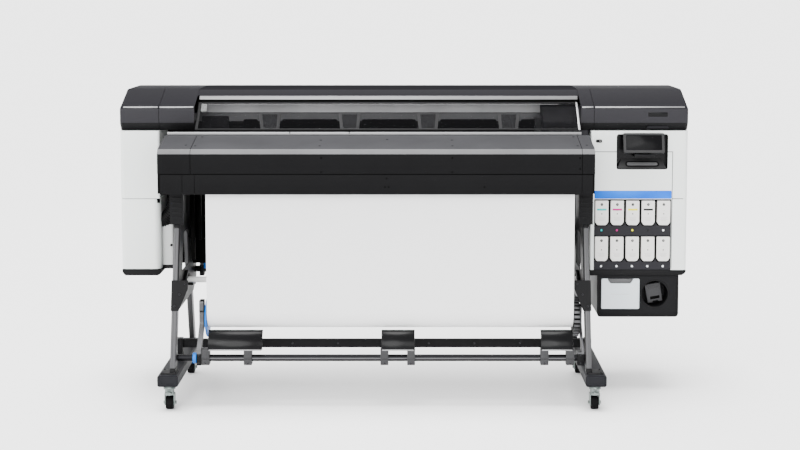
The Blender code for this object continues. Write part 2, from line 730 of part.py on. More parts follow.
def accessory_section():
    """Box under the right tower with a slide-out container and a round parking chamber."""
    left, right = 0.885, 1.258
    front = TOWER_FRONT + 0.006
    top = 0.542 - GAP
    outline = [(left, top)] + arc((left + 0.02, BOX_LOW + 0.02), 0.02, 180, 270, 3)
    outline += arc((right - 0.02, BOX_LOW + 0.02), 0.02, 270, 360, 3) + [(right, top)]
    case = plate(outline, "Y", front, 0.230)
    low_x, high_x, low_z, high_z = DRAWER
    slack = 0.001
    cut(case, box((low_x - slack, front - 0.02, low_z - slack),
                  (high_x + slack, 0.222, high_z + slack)))
    x, z, radius = CHAMBER
    depth = 0.120
    cut(case, cylinder("Y", (x, front + depth / 2 - 0.010, z), radius, depth + 0.020, 32))
    place(case, "accessory_box", BLACK, 0.45)

    drawer_front = front - 0.004
    container = box((low_x, drawer_front, low_z), (high_x, 0.215, high_z), 0.004, 1,
                    (low_x, drawer_front, low_z))
    place(container, "waste_container", WHITE, 0.4)

    rotor = cylinder("Y", (x, front + 0.095, z), radius - 0.0015, 0.040, 32)
    holder = box((x - 0.036, front + 0.028, z - 0.046), (x + 0.036, front + 0.080, z + 0.046),
                 0.004, 1, (x, front, z))
    holder.rotation_euler = (0.0, HOLDER_TURN, 0.0)
    join(rotor, holder)
    place(rotor, "parking_rotor", LIGHT_GREY, 0.5)


# ---------------------------------------------------------------- assembly
def stand():
    for side, foot_x, strut_x, inward in (("left", FOOT_X[0], STRUT_X[0], 1.0),
                                          ("right", FOOT_X[1], STRUT_X[1], -1.0)):
        foot_beam(side, foot_x)
        strut(side, "front", strut_x, FRONT_STRUT_FOOT_Y, FRONT_STRUT_TOP_Y)
        strut(side, "rear", strut_x, REAR_STRUT_FOOT_Y, REAR_STRUT_TOP_Y)
        leg_bracket(side, strut_x, inward)
        for end, y in (("front", CASTER_Y[0]), ("rear", CASTER_Y[1])):
            caster(side + "_" + end, foot_x, y)
    cross_brace()


def roll_holders():
    rod("take_up_crossbar", TAKE_UP_ROD, ROD_RADIUS, BLACK, 0.3, 0.7, STRUT_INNER)
    rod("input_crossbar", INPUT_ROD, ROD_RADIUS, BLACK, 0.3, 0.7, WEB_INNER)
    rod("tension_bar", TENSION_BAR, TENSION_BAR_RADIUS, WHITE, 0.35, 0.2,
        (WEB_INNER[0] + 0.001, WEB_INNER[1] - 0.001))
    roll_arm("left_take_up_arm", TAKE_UP_ARMS[0], TAKE_UP_ROD, TAKE_UP_AXIS, 0.460, TAKE_UP_FEET[0])
    roll_arm("right_take_up_arm", TAKE_UP_ARMS[1], TAKE_UP_ROD, TAKE_UP_AXIS, 0.440, TAKE_UP_FEET[1])
    roll_arm("left_input_arm", INPUT_ARMS[0], INPUT_ROD, INPUT_AXIS, 0.760, INPUT_ARMS[0][0])
    roll_arm("right_input_arm", INPUT_ARMS[1], INPUT_ROD, INPUT_AXIS, 0.760, INPUT_ARMS[1][0])
    take_up_spindle(TAKE_UP_ARMS)
    input_spindle(INPUT_ARMS)
    media_sheet()
    deflector("left_deflector", -0.866, -0.625, (-0.877, -0.690))
    deflector("centre_deflector", -0.099, 0.048, (-0.086, 0.032))
    deflector("right_deflector", 0.606, 0.748, (0.622, 0.735))


def printing_section():
    chassis_beam()
    carriage_rail()
    print_carriage()
    curing_housing()
    hood()
    hood_cap("left", -HALF_WIDTH, LEFT_CAP_INNER)
    hood_cap("right", HALF_WIDTH, RIGHT_CAP_INNER)
    rear_cover()
    front_window()


stand()
roll_holders()
printing_section()
left_tower()
right_tower()
power_button()
display_panel()
ink_section()
accessory_section()
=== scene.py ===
"""Finished look of a wide-format roll-to-roll printer and cutter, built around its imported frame.

Metres, +Z up, the front faces -Y.  Every piece rides on the frame's bodies and takes its place from
the frame's own boxes or from the dimensions named below.
"""
from math import cos, pi, radians, sin

import bmesh
import bpy
from mathutils import Matrix, Vector


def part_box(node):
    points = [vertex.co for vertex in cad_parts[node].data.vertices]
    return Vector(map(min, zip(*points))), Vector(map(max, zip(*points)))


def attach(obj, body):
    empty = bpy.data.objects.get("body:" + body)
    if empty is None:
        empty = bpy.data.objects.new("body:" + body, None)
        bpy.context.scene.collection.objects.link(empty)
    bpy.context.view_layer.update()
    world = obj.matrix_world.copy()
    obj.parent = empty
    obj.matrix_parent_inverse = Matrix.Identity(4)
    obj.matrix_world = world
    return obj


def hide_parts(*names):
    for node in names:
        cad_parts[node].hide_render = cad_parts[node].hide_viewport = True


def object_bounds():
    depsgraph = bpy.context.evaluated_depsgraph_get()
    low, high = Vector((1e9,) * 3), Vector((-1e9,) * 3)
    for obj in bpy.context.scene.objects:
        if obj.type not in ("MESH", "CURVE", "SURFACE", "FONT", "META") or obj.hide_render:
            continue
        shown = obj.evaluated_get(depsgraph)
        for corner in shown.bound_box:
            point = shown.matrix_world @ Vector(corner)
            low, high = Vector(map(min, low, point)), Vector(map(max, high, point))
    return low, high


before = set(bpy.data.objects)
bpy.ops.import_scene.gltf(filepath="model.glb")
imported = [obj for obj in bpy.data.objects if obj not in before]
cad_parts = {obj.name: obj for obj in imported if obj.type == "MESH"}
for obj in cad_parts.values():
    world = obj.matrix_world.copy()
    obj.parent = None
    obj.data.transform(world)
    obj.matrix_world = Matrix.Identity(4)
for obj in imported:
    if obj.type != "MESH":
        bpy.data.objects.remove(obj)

CAD_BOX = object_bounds()
MACHINE = "machine"

# ---------------------------------------------------------------- dimensions
CAD_BACK = CAD_BOX[1][1]
SHEET_LOW, SHEET_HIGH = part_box("media_sheet")
TOWER_FRONT = -0.068
TOWER_BACK = 0.4
TOWER_TOP = 1.2075
LEFT_TOWER = (-1.2915, -1.112)
RIGHT_TOWER = (0.851, 1.2915)
SEAM_Z = 0.897
CAP_INNER = (-0.952, 0.804)
CAP_SEAM = (-1.113, 0.863)
RIDGE_Y = 0.126
MODULE_FRONT = -0.35
MODULE_ENDS = (-1.077, 0.836)
MODULE_SEAMS = (-0.932, 0.779)
WINDOW_TOP = (0.035, 1.33)
WINDOW_FOOT = (-0.105, 1.215)
TAKE_UP_AXIS = (-0.215, 0.385)
INPUT_AXIS = (0.235, 0.7)
TAKE_UP_ROD = (-0.315, 0.22)
INPUT_ROD = (0.235, 0.52)
STRUT_X = (-1.016, 0.814)
FOOT_X = (-1.0325, 0.842)
CASTER_Y = (-0.365, 0.275)
CARTRIDGE_X = 0.9015
CARTRIDGE_PITCH = 0.0706
CARTRIDGE_ROWS = (0.776, 0.61)
RECESS = (0.966, 1.2, 1.031, 1.193)
DISPLAY_PIVOT = (1.086, -0.103, 1.1135)
DISPLAY_LEAN = -17.0
CHAMBER = (1.149, 0.457)
HOLDER_LEAN = -10.0
STRUT_HALF_DEPTH = 0.028


# ---------------------------------------------------------------- materials
def surface(name, colour, roughness, metallic=0.0, coat=0.0, alpha=1.0, specular=0.5):
    made = bpy.data.materials.new(name)
    made.use_nodes = True
    shader = made.node_tree.nodes["Principled BSDF"]
    shader.inputs["Base Color"].default_value = (*colour, 1.0)
    shader.inputs["Roughness"].default_value = roughness
    shader.inputs["Metallic"].default_value = metallic
    shader.inputs["Coat Weight"].default_value = coat
    shader.inputs["Coat Roughness"].default_value = 0.15
    shader.inputs["Specular IOR Level"].default_value = specular
    shader.inputs["Alpha"].default_value = alpha
    return made


def texture(made, kind, scale, stretch=(1.0, 1.0, 1.0), detail=3.0):
    """A procedural texture in the machine's own coordinates."""
    nodes = made.node_tree.nodes
    links = made.node_tree.links
    place = nodes.new("ShaderNodeTexCoord")
    mapping = nodes.new("ShaderNodeMapping")
    mapping.inputs["Scale"].default_value = stretch
    pattern = nodes.new(kind)
    pattern.inputs["Scale"].default_value = scale
    if kind == "ShaderNodeTexNoise":
        pattern.inputs["Detail"].default_value = detail
    links.new(place.outputs["Object"], mapping.inputs["Vector"])
    links.new(mapping.outputs["Vector"], pattern.inputs["Vector"])
    return pattern


def vary_colour(made, pattern, output, dark, light, low=0.3, high=0.7):
    nodes = made.node_tree.nodes
    ramp = nodes.new("ShaderNodeValToRGB")
    ramp.color_ramp.elements[0].position = low
    ramp.color_ramp.elements[1].position = high
    ramp.color_ramp.elements[0].color = (*dark, 1.0)
    ramp.color_ramp.elements[1].color = (*light, 1.0)
    made.node_tree.links.new(pattern.outputs[output], ramp.inputs["Fac"])
    shader = nodes["Principled BSDF"]
    made.node_tree.links.new(ramp.outputs["Color"], shader.inputs["Base Color"])
    return ramp


def vary_roughness(made, pattern, output, low, high):
    nodes = made.node_tree.nodes
    spread = nodes.new("ShaderNodeMapRange")
    spread.inputs["To Min"].default_value = low
    spread.inputs["To Max"].default_value = high
    made.node_tree.links.new(pattern.outputs[output], spread.inputs["Value"])
    shader = nodes["Principled BSDF"]
    made.node_tree.links.new(spread.outputs["Result"], shader.inputs["Roughness"])


def add_bump(made, pattern, output, strength, distance):
    nodes = made.node_tree.nodes
    bump = nodes.new("ShaderNodeBump")
    bump.inputs["Strength"].default_value = strength
    bump.inputs["Distance"].default_value = distance
    made.node_tree.links.new(pattern.outputs[output], bump.inputs["Height"])
    shader = nodes["Principled BSDF"]
    made.node_tree.links.new(bump.outputs["Normal"], shader.inputs["Normal"])


def scaled(colour, factor):
    return tuple(min(1.0, part * factor) for part in colour)


def moulded(name, colour, roughness=0.45, grain=700.0, relief=0.1, mottle=0.06, coat=0.0, specular=0.5):
    """Moulded plastic: a fine spark-eroded grain, slightly uneven gloss and colour."""
    made = surface(name, colour, roughness, coat=coat, specular=specular)
    cloud = texture(made, "ShaderNodeTexNoise", 3.0, detail=5.0)
    vary_colour(made, cloud, "Fac", scaled(colour, 1.0 - mottle), scaled(colour, 1.0 + mottle))
    vary_roughness(made, cloud, "Fac", roughness - 0.06, roughness + 0.08)
    fine = texture(made, "ShaderNodeTexNoise", grain, detail=2.0)
    add_bump(made, fine, "Fac", relief, 0.0004)
    return made


def painted(name, colour, roughness=0.4, metallic=0.0, specular=0.5):
    """Powder-coated sheet metal: an orange-peel surface with rubbed, lighter patches."""
    made = surface(name, colour, roughness, metallic, specular=specular)
    cloud = texture(made, "ShaderNodeTexNoise", 5.0, detail=8.0)
    vary_colour(made, cloud, "Fac", scaled(colour, 0.9), scaled(colour, 1.14))
    vary_roughness(made, cloud, "Fac", roughness - 0.07, roughness + 0.1)
    peel = texture(made, "ShaderNodeTexNoise", 380.0, detail=1.0)
    add_bump(made, peel, "Fac", 0.12, 0.0006)
    return made


def brushed(name, colour, roughness=0.3, along="X"):
    """Metal with drawn lines along one axis."""
    made = surface(name, colour, roughness, 1.0)
    stretch = {"X": (0.02, 1.0, 1.0), "Y": (1.0, 0.02, 1.0), "Z": (1.0, 1.0, 0.02)}[along]
    lines = texture(made, "ShaderNodeTexNoise", 900.0, stretch, 2.0)
    vary_colour(made, lines, "Fac", scaled(colour, 0.9), scaled(colour, 1.08))
    vary_roughness(made, lines, "Fac", roughness - 0.08, roughness + 0.12)
    add_bump(made, lines, "Fac", 0.1, 0.0003)
    return made


def coloured(name, colour, roughness=0.3):
    return moulded(name, colour, roughness, 500.0, 0.05, 0.04, specular=0.15)


def blue_stripe():
    """Printed band that deepens from left to right with a soft diagonal sheen."""
    made = surface("stripe_blue", (0.0, 0.1, 0.55), 0.3, specular=0.03)
    wave = texture(made, "ShaderNodeTexNoise", 4.0, (1.0, 0.2, 2.5), 1.0)
    vary_colour(made, wave, "Fac", (0.0, 0.07, 0.46), (0.0, 0.125, 0.62), 0.35, 0.65)
    return made


def fan_mesh_finish():
    """Dark pierced grille."""
    made = surface("fan_mesh", (0.03, 0.03, 0.032), 0.5, specular=0.1)
    cells = texture(made, "ShaderNodeTexVoronoi", 260.0)
    vary_colour(made, cells, "Distance", (0.004, 0.004, 0.004), (0.09, 0.09, 0.095), 0.2, 0.5)
    add_bump(made, cells, "Distance", 0.5, 0.001)
    return made


def smoked_window():
    made = surface("smoked_window", (0.005, 0.005, 0.0055), 0.07, alpha=0.33, specular=0.0)
    haze = texture(made, "ShaderNodeTexNoise", 2.0, detail=2.0)
    vary_roughness(made, haze, "Fac", 0.05, 0.11)
    return made


def vinyl():
    """White film: a broad, barely visible unevenness and a soft satin face."""
    made = surface("white_vinyl", (0.68, 0.68, 0.68), 0.5, specular=0.2)
    cloud = texture(made, "ShaderNodeTexNoise", 1.4, (1.0, 1.0, 0.4), 3.0)
    vary_colour(made, cloud, "Fac", (0.665, 0.665, 0.67), (0.695, 0.695, 0.695))
    vary_roughness(made, cloud, "Fac", 0.46, 0.56)
    fine = texture(made, "ShaderNodeTexNoise", 1200.0, detail=1.0)
    add_bump(made, fine, "Fac", 0.04, 0.0002)
    return made


def wound_vinyl():
    """Edges of many wraps of film."""
    made = surface("wound_vinyl", (0.62, 0.62, 0.62), 0.5, specular=0.2)
    rings = texture(made, "ShaderNodeTexNoise", 60.0, (1.0, 12.0, 12.0), 2.0)
    vary_colour(made, rings, "Fac", (0.54, 0.54, 0.54), (0.66, 0.66, 0.66))
    add_bump(made, rings, "Fac", 0.1, 0.0004)
    return made


CHARCOAL = moulded("charcoal_cover", (0.0165, 0.016, 0.0185), 0.5, mottle=0.05, specular=0.08)
# Darker copies of the charcoal plastic for upward faces: painted shade on the hood's tops. The second
# copy also colours the cap grip.
CHARCOAL_TOP_SHADE = moulded("charcoal_cover_top_shade", (0.012, 0.0116, 0.0136), 0.55, mottle=0.05, specular=0.01)
CHARCOAL_GRIP_AND_TOP_SHADE = moulded("charcoal_grip_and_top_shade", (0.0105, 0.0103, 0.0116), 0.6, specular=0.0)
WHITE = moulded("white_cover", (0.6, 0.625, 0.612), 0.42, mottle=0.015, specular=0.3)
GREY_WHITE = moulded("grey_white_panel", (0.42, 0.43, 0.425), 0.45, specular=0.2)
BLACK = moulded("black_plastic", (0.0034, 0.0034, 0.0038), 0.48, specular=0.08)
DEEP_BLACK = moulded("deep_black", (0.0012, 0.0012, 0.0012), 0.6, specular=0.02)
BAY_GREY = moulded("bay_grey", (0.0128, 0.0124, 0.0148), 0.5, 500.0, 0.3, specular=0.08)
GLOSS_BLACK = moulded("gloss_black", (0.0022, 0.0022, 0.0026), 0.2, relief=0.02, specular=0.1)
BLACK_PAINT = painted("black_powder_coat", (0.004, 0.004, 0.0044), 0.45, specular=0.06)
MODULE_FACE = painted("module_face", (0.003, 0.003, 0.0033), 0.45, specular=0.04)
# Bright and grey copies of the module's black: a painted highlight on its bevel and painted light on its
# top.
MODULE_EDGE_HIGHLIGHT = painted("module_edge_highlight", (0.093, 0.093, 0.096), 0.42, specular=0.15)
MODULE_TOP_LIT = painted("module_top", (0.033, 0.033, 0.0355), 0.5, specular=0.02)
FOOT_PAINT = painted("foot_paint", (0.0098, 0.01, 0.0118), 0.48, specular=0.06)
SILVER = brushed("silver_strip", (0.215, 0.215, 0.219), 0.4)
STRUT_METAL = brushed("strut_metal", (0.063, 0.063, 0.065), 0.48, "Z")
RAIL_METAL = brushed("rail_metal", (0.14, 0.14, 0.145), 0.38)
ROD_BLACK = brushed("rod_black", (0.01, 0.01, 0.011), 0.35)
ARM_GREY = brushed("arm_grey", (0.075, 0.075, 0.078), 0.48, "Z")
ZINC = brushed("zinc_plate", (0.16, 0.185, 0.178), 0.36, "Z")
STEEL = brushed("screw_steel", (0.022, 0.022, 0.024), 0.42)
TUBE_WHITE = moulded("tube_white", (0.7, 0.7, 0.69), 0.36, specular=0.3)
RUBBER = moulded("tyre_rubber", (0.0025, 0.0025, 0.0027), 0.65, 300.0, 0.3, specular=0.05)
BLUE = coloured("hub_blue", (0.0, 0.1, 0.4), 0.4)
CARTRIDGE_WHITE = moulded("cartridge_white", (0.59, 0.578, 0.56), 0.4, mottle=0.02, specular=0.2)
CONTAINER = moulded("container_pale", (0.5, 0.545, 0.575), 0.4, mottle=0.02, specular=0.2)
HOLDER_GREY = moulded("holder_grey", (0.03, 0.03, 0.0315), 0.5, 400.0, 0.3, specular=0.1)
SCREEN_FRAME = moulded("screen_frame", (0.02, 0.02, 0.0205), 0.45, specular=0.1)
SCREEN = moulded("screen_glass", (0.003, 0.003, 0.0034), 0.16, relief=0.0, specular=0.04)
WALL_GREY = painted("wall_grey", (0.74, 0.74, 0.75), 0.5, specular=0.1)
DUCT_GREY = painted("duct_grey", (0.19, 0.19, 0.193), 0.5, specular=0.1)
FASCIA = moulded("fascia_black", (0.0062, 0.0062, 0.0068), 0.5, specular=0.05)
BELT = moulded("drive_belt", (0.006, 0.006, 0.006), 0.6, 250.0, 0.4, specular=0.1)
STRIPE = blue_stripe()
FAN_MESH = fan_mesh_finish()
WINDOW = smoked_window()
VINYL = vinyl()
WOUND = wound_vinyl()
CYAN = coloured("mark_cyan", (0.0, 0.36, 0.36))
MAGENTA = coloured("mark_magenta", (0.36, 0.0, 0.14))
YELLOW = coloured("mark_yellow", (0.62, 0.6, 0.0))
MARK_BLACK = coloured("mark_black", (0.0035, 0.0035, 0.0035))
MARK_GREY = coloured("mark_grey", (0.07, 0.07, 0.072))
MARK_PALE = coloured("mark_pale", (0.32, 0.315, 0.31))
LAMP_WHITE = coloured("lamp_white", (0.8, 0.82, 0.84))
PLATEN = brushed("platen_metal", (0.1, 0.1, 0.105), 0.42)


# ---------------------------------------------------------------- shape helpers
def loose(mesh):
    thing = bpy.data.objects.new("piece", mesh)
    bpy.context.scene.collection.objects.link(thing)
    return thing


def settle(thing):
    """Apply a piece's modifiers and place, so its mesh stands in the machine's frame."""
    bpy.context.view_layer.update()
    graph = bpy.context.evaluated_depsgraph_get()
    mesh = bpy.data.meshes.new_from_object(thing.evaluated_get(graph))
    mesh.transform(thing.matrix_world)
    bpy.data.objects.remove(thing)
    return loose(mesh)


def face_outward(thing):
    """Join meeting points and turn every face to look outward."""
    shape = bmesh.new()
    shape.from_mesh(thing.data)
    bmesh.ops.remove_doubles(shape, verts=shape.verts, dist=0.00001)
    bmesh.ops.dissolve_limit(shape, angle_limit=0.001, verts=shape.verts, edges=shape.edges)
    bmesh.ops.recalc_face_normals(shape, faces=shape.faces)
    if shape.calc_volume(signed=True) < 0.0:
        bmesh.ops.reverse_faces(shape, faces=shape.faces)
    shape.to_mesh(thing.data)
    shape.free()
    return thing


def block(low, high):
    shape = bmesh.new()
    bmesh.ops.create_cube(shape, size=1.0)
    low = Vector(low)
    high = Vector(high)
    bmesh.ops.scale(shape, vec=high - low, verts=shape.verts)
    bmesh.ops.translate(shape, vec=(high + low) / 2, verts=shape.verts)
    mesh = bpy.data.meshes.new("block")
    shape.to_mesh(mesh)
    shape.free()
    return loose(mesh)


def arc(centre, radius, start, end, steps):
    points = []
    for step in range(steps + 1):
        angle = radians(start + (end - start) * step / steps)
        points.append((centre[0] + radius * cos(angle), centre[1] + radius * sin(angle)))
    return points


def rounded(corners, radius, steps=4):
    """An outline with each corner eased by a short curve."""
    points = []
    count = len(corners)
    for index, corner in enumerate(corners):
        here = Vector(corner)
        start = here + (Vector(corners[index - 1]) - here).normalized() * radius
        end = here + (Vector(corners[(index + 1) % count]) - here).normalized() * radius
        for step in range(steps + 1):
            share = step / steps
            point = start.lerp(here, share).lerp(here.lerp(end, share), share)
            points.append((point.x, point.y))
    return points


def rectangle(left, right, low, high):
    return [(left, low), (right, low), (right, high), (left, high)]


def slab(outline, axis, low, high):
    """A flat outline extruded between two places along X (points are Y, Z), Y (X, Z) or Z (X, Y)."""
    curve = bpy.data.curves.new("outline", "CURVE")
    curve.dimensions = "2D"
    curve.fill_mode = "BOTH"
    curve.extrude = (high - low) / 2
    spline = curve.splines.new("POLY")
    spline.points.add(len(outline) - 1)
    for point, flat in zip(spline.points, outline):
        point.co = (flat[0], flat[1], 0.0, 1.0)
    spline.use_cyclic_u = True
    drawn = bpy.data.objects.new("outline", curve)
    bpy.context.scene.collection.objects.link(drawn)
    middle = (high + low) / 2
    turns = {"X": Matrix(((0, 0, 1, middle), (1, 0, 0, 0), (0, 1, 0, 0), (0, 0, 0, 1))),
        "Y": Matrix(((1, 0, 0, 0), (0, 0, -1, middle), (0, 1, 0, 0), (0, 0, 0, 1))),
        "Z": Matrix.Translation((0, 0, middle))}
    drawn.matrix_world = turns[axis]
    return face_outward(settle(drawn))


def open_up(thing, directions):
    """Take away the faces that look along the given directions."""
    shape = bmesh.new()
    shape.from_mesh(thing.data)
    shape.normal_update()
    gone = [face for face in shape.faces if any(face.normal.dot(Vector(way)) > 0.99
        for way in directions)]
    bmesh.ops.delete(shape, geom=gone, context="FACES")
    shape.to_mesh(thing.data)
    shape.free()
    return thing


def eased(thing, width, segments=3, angle=30.0):
    bevel = thing.modifiers.new("eased_edges", "BEVEL")
    bevel.width = width
    bevel.segments = segments
    bevel.limit_method = "ANGLE"
    bevel.angle_limit = radians(angle)
    return thing


def brick(low, high, ease, segments=2):
    return eased(block(low, high), ease, segments)


def tile(box, radius, front, back, steps=4):
    """Rounded upright plate from its X from, X to, Z from and Z to."""
    return slab(rounded(rectangle(*box), radius, steps), "Y", front, back)


def skin(thing, thickness):
    solid = thing.modifiers.new("skin", "SOLIDIFY")
    solid.thickness = thickness
    solid.offset = -1.0
    solid.use_even_offset = True
    return thing


AXIS_TURN = {"X": Matrix.Rotation(pi / 2, 4, "Y"), "Y": Matrix.Rotation(-pi / 2, 4, "X"),
    "-Y": Matrix.Rotation(pi / 2, 4, "X"), "Z": Matrix.Identity(4)}


def lathe(profile, axis, centre, steps=48, closed=False):
    """A turned shape from (radius, height along the axis) points down its outer side."""
    mesh = bpy.data.meshes.new("turned")
    count = len(profile)
    edges = [(index, index + 1) for index in range(count - 1)]
    if closed:
        edges.append((count - 1, 0))
    mesh.from_pydata([(radius, 0.0, height) for radius, height in profile], edges, [])
    thing = loose(mesh)
    thing.matrix_world = Matrix.Translation(centre) @ AXIS_TURN[axis]
    screw = thing.modifiers.new("turn", "SCREW")
    screw.steps = steps
    screw.render_steps = steps
    screw.use_merge_vertices = True
    screw.merge_threshold = 0.00001
    return face_outward(settle(thing))


def disc(axis, centre, radius, thickness, ease=0.0006, steps=32):
    half = thickness / 2
    profile = [(0.0, half), (radius - ease, half), (radius, half - ease), (radius, ease - half),
        (radius - ease, -half), (0.0, -half)]
    return lathe(profile, axis, centre, steps)


def pipe(points, radius, radii=None, cyclic=False):
    """A round rod or hose along a smooth path."""
    curve = bpy.data.curves.new("path", "CURVE")
    curve.dimensions = "3D"
    curve.bevel_depth = radius
    curve.bevel_resolution = 4
    curve.use_fill_caps = True
    spline = curve.splines.new("POLY")
    spline.points.add(len(points) - 1)
    for index, (point, place) in enumerate(zip(spline.points, points)):
        point.co = (*place, 1.0)
        if radii:
            point.radius = radii[index]
    spline.use_cyclic_u = cyclic
    drawn = bpy.data.objects.new("path", curve)
    bpy.context.scene.collection.objects.link(drawn)
    return face_outward(settle(drawn))


def smooth_path(knots, steps=10):
    """Points of a Catmull-Rom curve through the knots."""
    knots = [Vector(knot) for knot in knots]
    padded = [knots[0] * 2 - knots[1]] + knots + [knots[-1] * 2 - knots[-2]]
    points = []
    for index in range(1, len(padded) - 2):
        before, here, after, beyond = padded[index - 1:index + 3]
        for step in range(steps):
            share = step / steps
            points.append(0.5 * (2 * here + (after - before) * share
                + (2 * before - 5 * here + 4 * after - beyond) * share ** 2
                + (3 * here - before - 3 * after + beyond) * share ** 3))
    points.append(knots[-1])
    return [tuple(point) for point in points]


def operate(thing, tool, operation):
    boolean = thing.modifiers.new(operation.lower(), "BOOLEAN")
    boolean.operation = operation
    boolean.solver = "EXACT"
    boolean.object = tool
    made = settle(thing)
    bpy.data.objects.remove(tool)
    return made


def carve(thing, *tools):
    for tool in tools:
        thing = operate(thing, tool, "DIFFERENCE")
    return thing


def gather(things):
    """Several shapes of one piece, kept as one mesh."""
    shape = bmesh.new()
    for thing in things:
        settled = settle(thing)
        shape.from_mesh(settled.data)
        bpy.data.objects.remove(settled)
    mesh = bpy.data.meshes.new("group")
    shape.to_mesh(mesh)
    shape.free()
    return loose(mesh)


def put(thing, name, body, finish, stands_for=(), shade=35.0):
    """Name a piece, or a list of shapes as one piece, finish it and hang it on its body."""
    thing = gather(thing) if isinstance(thing, list) else settle(thing)
    thing.name = name
    thing.data.name = name
    thing.data.materials.clear()
    thing.data.materials.append(finish)
    thing.data.shade_smooth()
    thing.data.set_sharp_from_angle(angle=radians(shade))
    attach(thing, body)
    if stands_for:
        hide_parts(*stands_for)
    return thing


def fix(thing, name, finish, stands_for=()):
    """Put a piece on the machine itself."""
    return put(thing, name, MACHINE, finish, stands_for)


def paint_light_and_shade_by_facing(thing, finish, direction, least):
    """Give a second material to the faces that look along a direction: painted light or shade by which
    way a face looks.
    """
    thing.data.materials.append(finish)
    way = Vector(direction)
    for face in thing.data.polygons:
        if face.normal.dot(way) > least:
            face.material_index = len(thing.data.materials) - 1
    return thing


def refinish(node, finish):
    """Keep a CAD node's shape and give it a finished material."""
    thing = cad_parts[node]
    thing.data.materials.clear()
    thing.data.materials.append(finish)
    thing.data.shade_smooth()
    thing.data.set_sharp_from_angle(angle=radians(35.0))


def screws(name, places, axis, radius, body):
    """Round screw heads with a hexagon socket."""
    heads = []
    for place in places:
        rim = radius * 0.55
        depth = radius * 0.5
        profile = [(0.0, 0.0), (rim, 0.0), (rim, depth), (radius * 0.85, depth), (radius, depth * 0.6),
            (radius, -depth), (0.0, -depth)]
        heads.append(lathe(profile, axis, place, 12))
    put(heads, name, body, STEEL)


# ---------------------------------------------------------------- camera, floor and light
def studio():
    lens = bpy.data.cameras.new("camera")
    lens.lens = 67.45
    lens.shift_x = -0.0147
    lens.shift_y = -0.12
    lens.clip_end = 9000.0
    eye = bpy.data.objects.new("camera", lens)
    eye.location = (0.035, -6.846, 1.81)
    eye.rotation_euler = (radians(90.0 - 5.007), 0.0, 0.0)
    bpy.context.scene.collection.objects.link(eye)
    bpy.context.scene.camera = eye

    shape = bmesh.new()
    bmesh.ops.create_grid(shape, x_segments=4, y_segments=4, size=4000.0)
    mesh = bpy.data.meshes.new("floor")
    shape.to_mesh(mesh)
    shape.free()
    floor = loose(mesh)
    floor.name = "floor"
    finish = surface("floor_paper", (0.86, 0.86, 0.86), 0.9, specular=0.0)
    cloud = texture(finish, "ShaderNodeTexNoise", 0.5)
    vary_colour(finish, cloud, "Fac", (0.855, 0.855, 0.855), (0.865, 0.865, 0.865))
    floor.data.materials.append(finish)

    world = bpy.data.worlds.new("studio")
    world.use_nodes = True
    nodes = world.node_tree.nodes
    links = world.node_tree.links
    sky = nodes["Background"]
    sky.inputs["Color"].default_value = (1.0, 1.0, 1.0, 1.0)
    around = nodes.new("ShaderNodeTexCoord")
    split = nodes.new("ShaderNodeSeparateXYZ")
    spread = nodes.new("ShaderNodeMapRange")
    spread.inputs["From Min"].default_value = -1.0
    spread.inputs["From Max"].default_value = 1.0
    spread.inputs["To Min"].default_value = SKY * 1.5
    spread.inputs["To Max"].default_value = SKY * 0.5
    links.new(around.outputs["Generated"], split.inputs["Vector"])
    links.new(split.outputs["X"], spread.inputs["Value"])
    links.new(spread.outputs["Result"], sky.inputs["Strength"])
    bpy.context.scene.world = world

    for name, way, strength, spread_of_light in SUNS:
        light = bpy.data.lights.new(name, "SUN")
        light.energy = strength
        light.angle = radians(spread_of_light)
        lamp = bpy.data.objects.new(name, light)
        lamp.rotation_euler = Vector(way).to_track_quat("-Z", "Y").to_euler()
        bpy.context.scene.collection.objects.link(lamp)

    for name, place, aim, size, power in LIGHTS:
        light = bpy.data.lights.new(name, "AREA")
        light.shape = "RECTANGLE"
        light.size = size[0]
        light.size_y = size[1]
        light.energy = power
        lamp = bpy.data.objects.new(name, light)
        lamp.location = place
        lamp.rotation_euler = (Vector(aim) - Vector(place)).to_track_quat("-Z", "Y").to_euler()
        bpy.context.scene.collection.objects.link(lamp)


SKY = 2.0
SUNS = (("overhead", (0.04, 0.02, -1.0), 5.8, 35.0), ("front", (0.15, 1.0, -0.4), 2.3, 30.0))
LIGHTS = (("front_left", (-3.6, -4.6, 3.0), (-0.2, 0.0, 0.8), (2.6, 2.2), 150.0),
    ("front_right", (1.9, -5.4, 2.2), (0.9, 0.0, 0.8), (2.2, 2.2), 85.0),
    ("behind", (0.5, 4.5, 3.4), (0.0, 0.2, 0.8), (4.0, 2.0), 60.0))


# ---------------------------------------------------------------- stand
def strut_y(end, z):
    foot, top = ((-0.358, -0.178), (0.235, 0.055))[end == "rear"]
    return foot + (top - foot) * (z - 0.164) / (0.8 - 0.164)


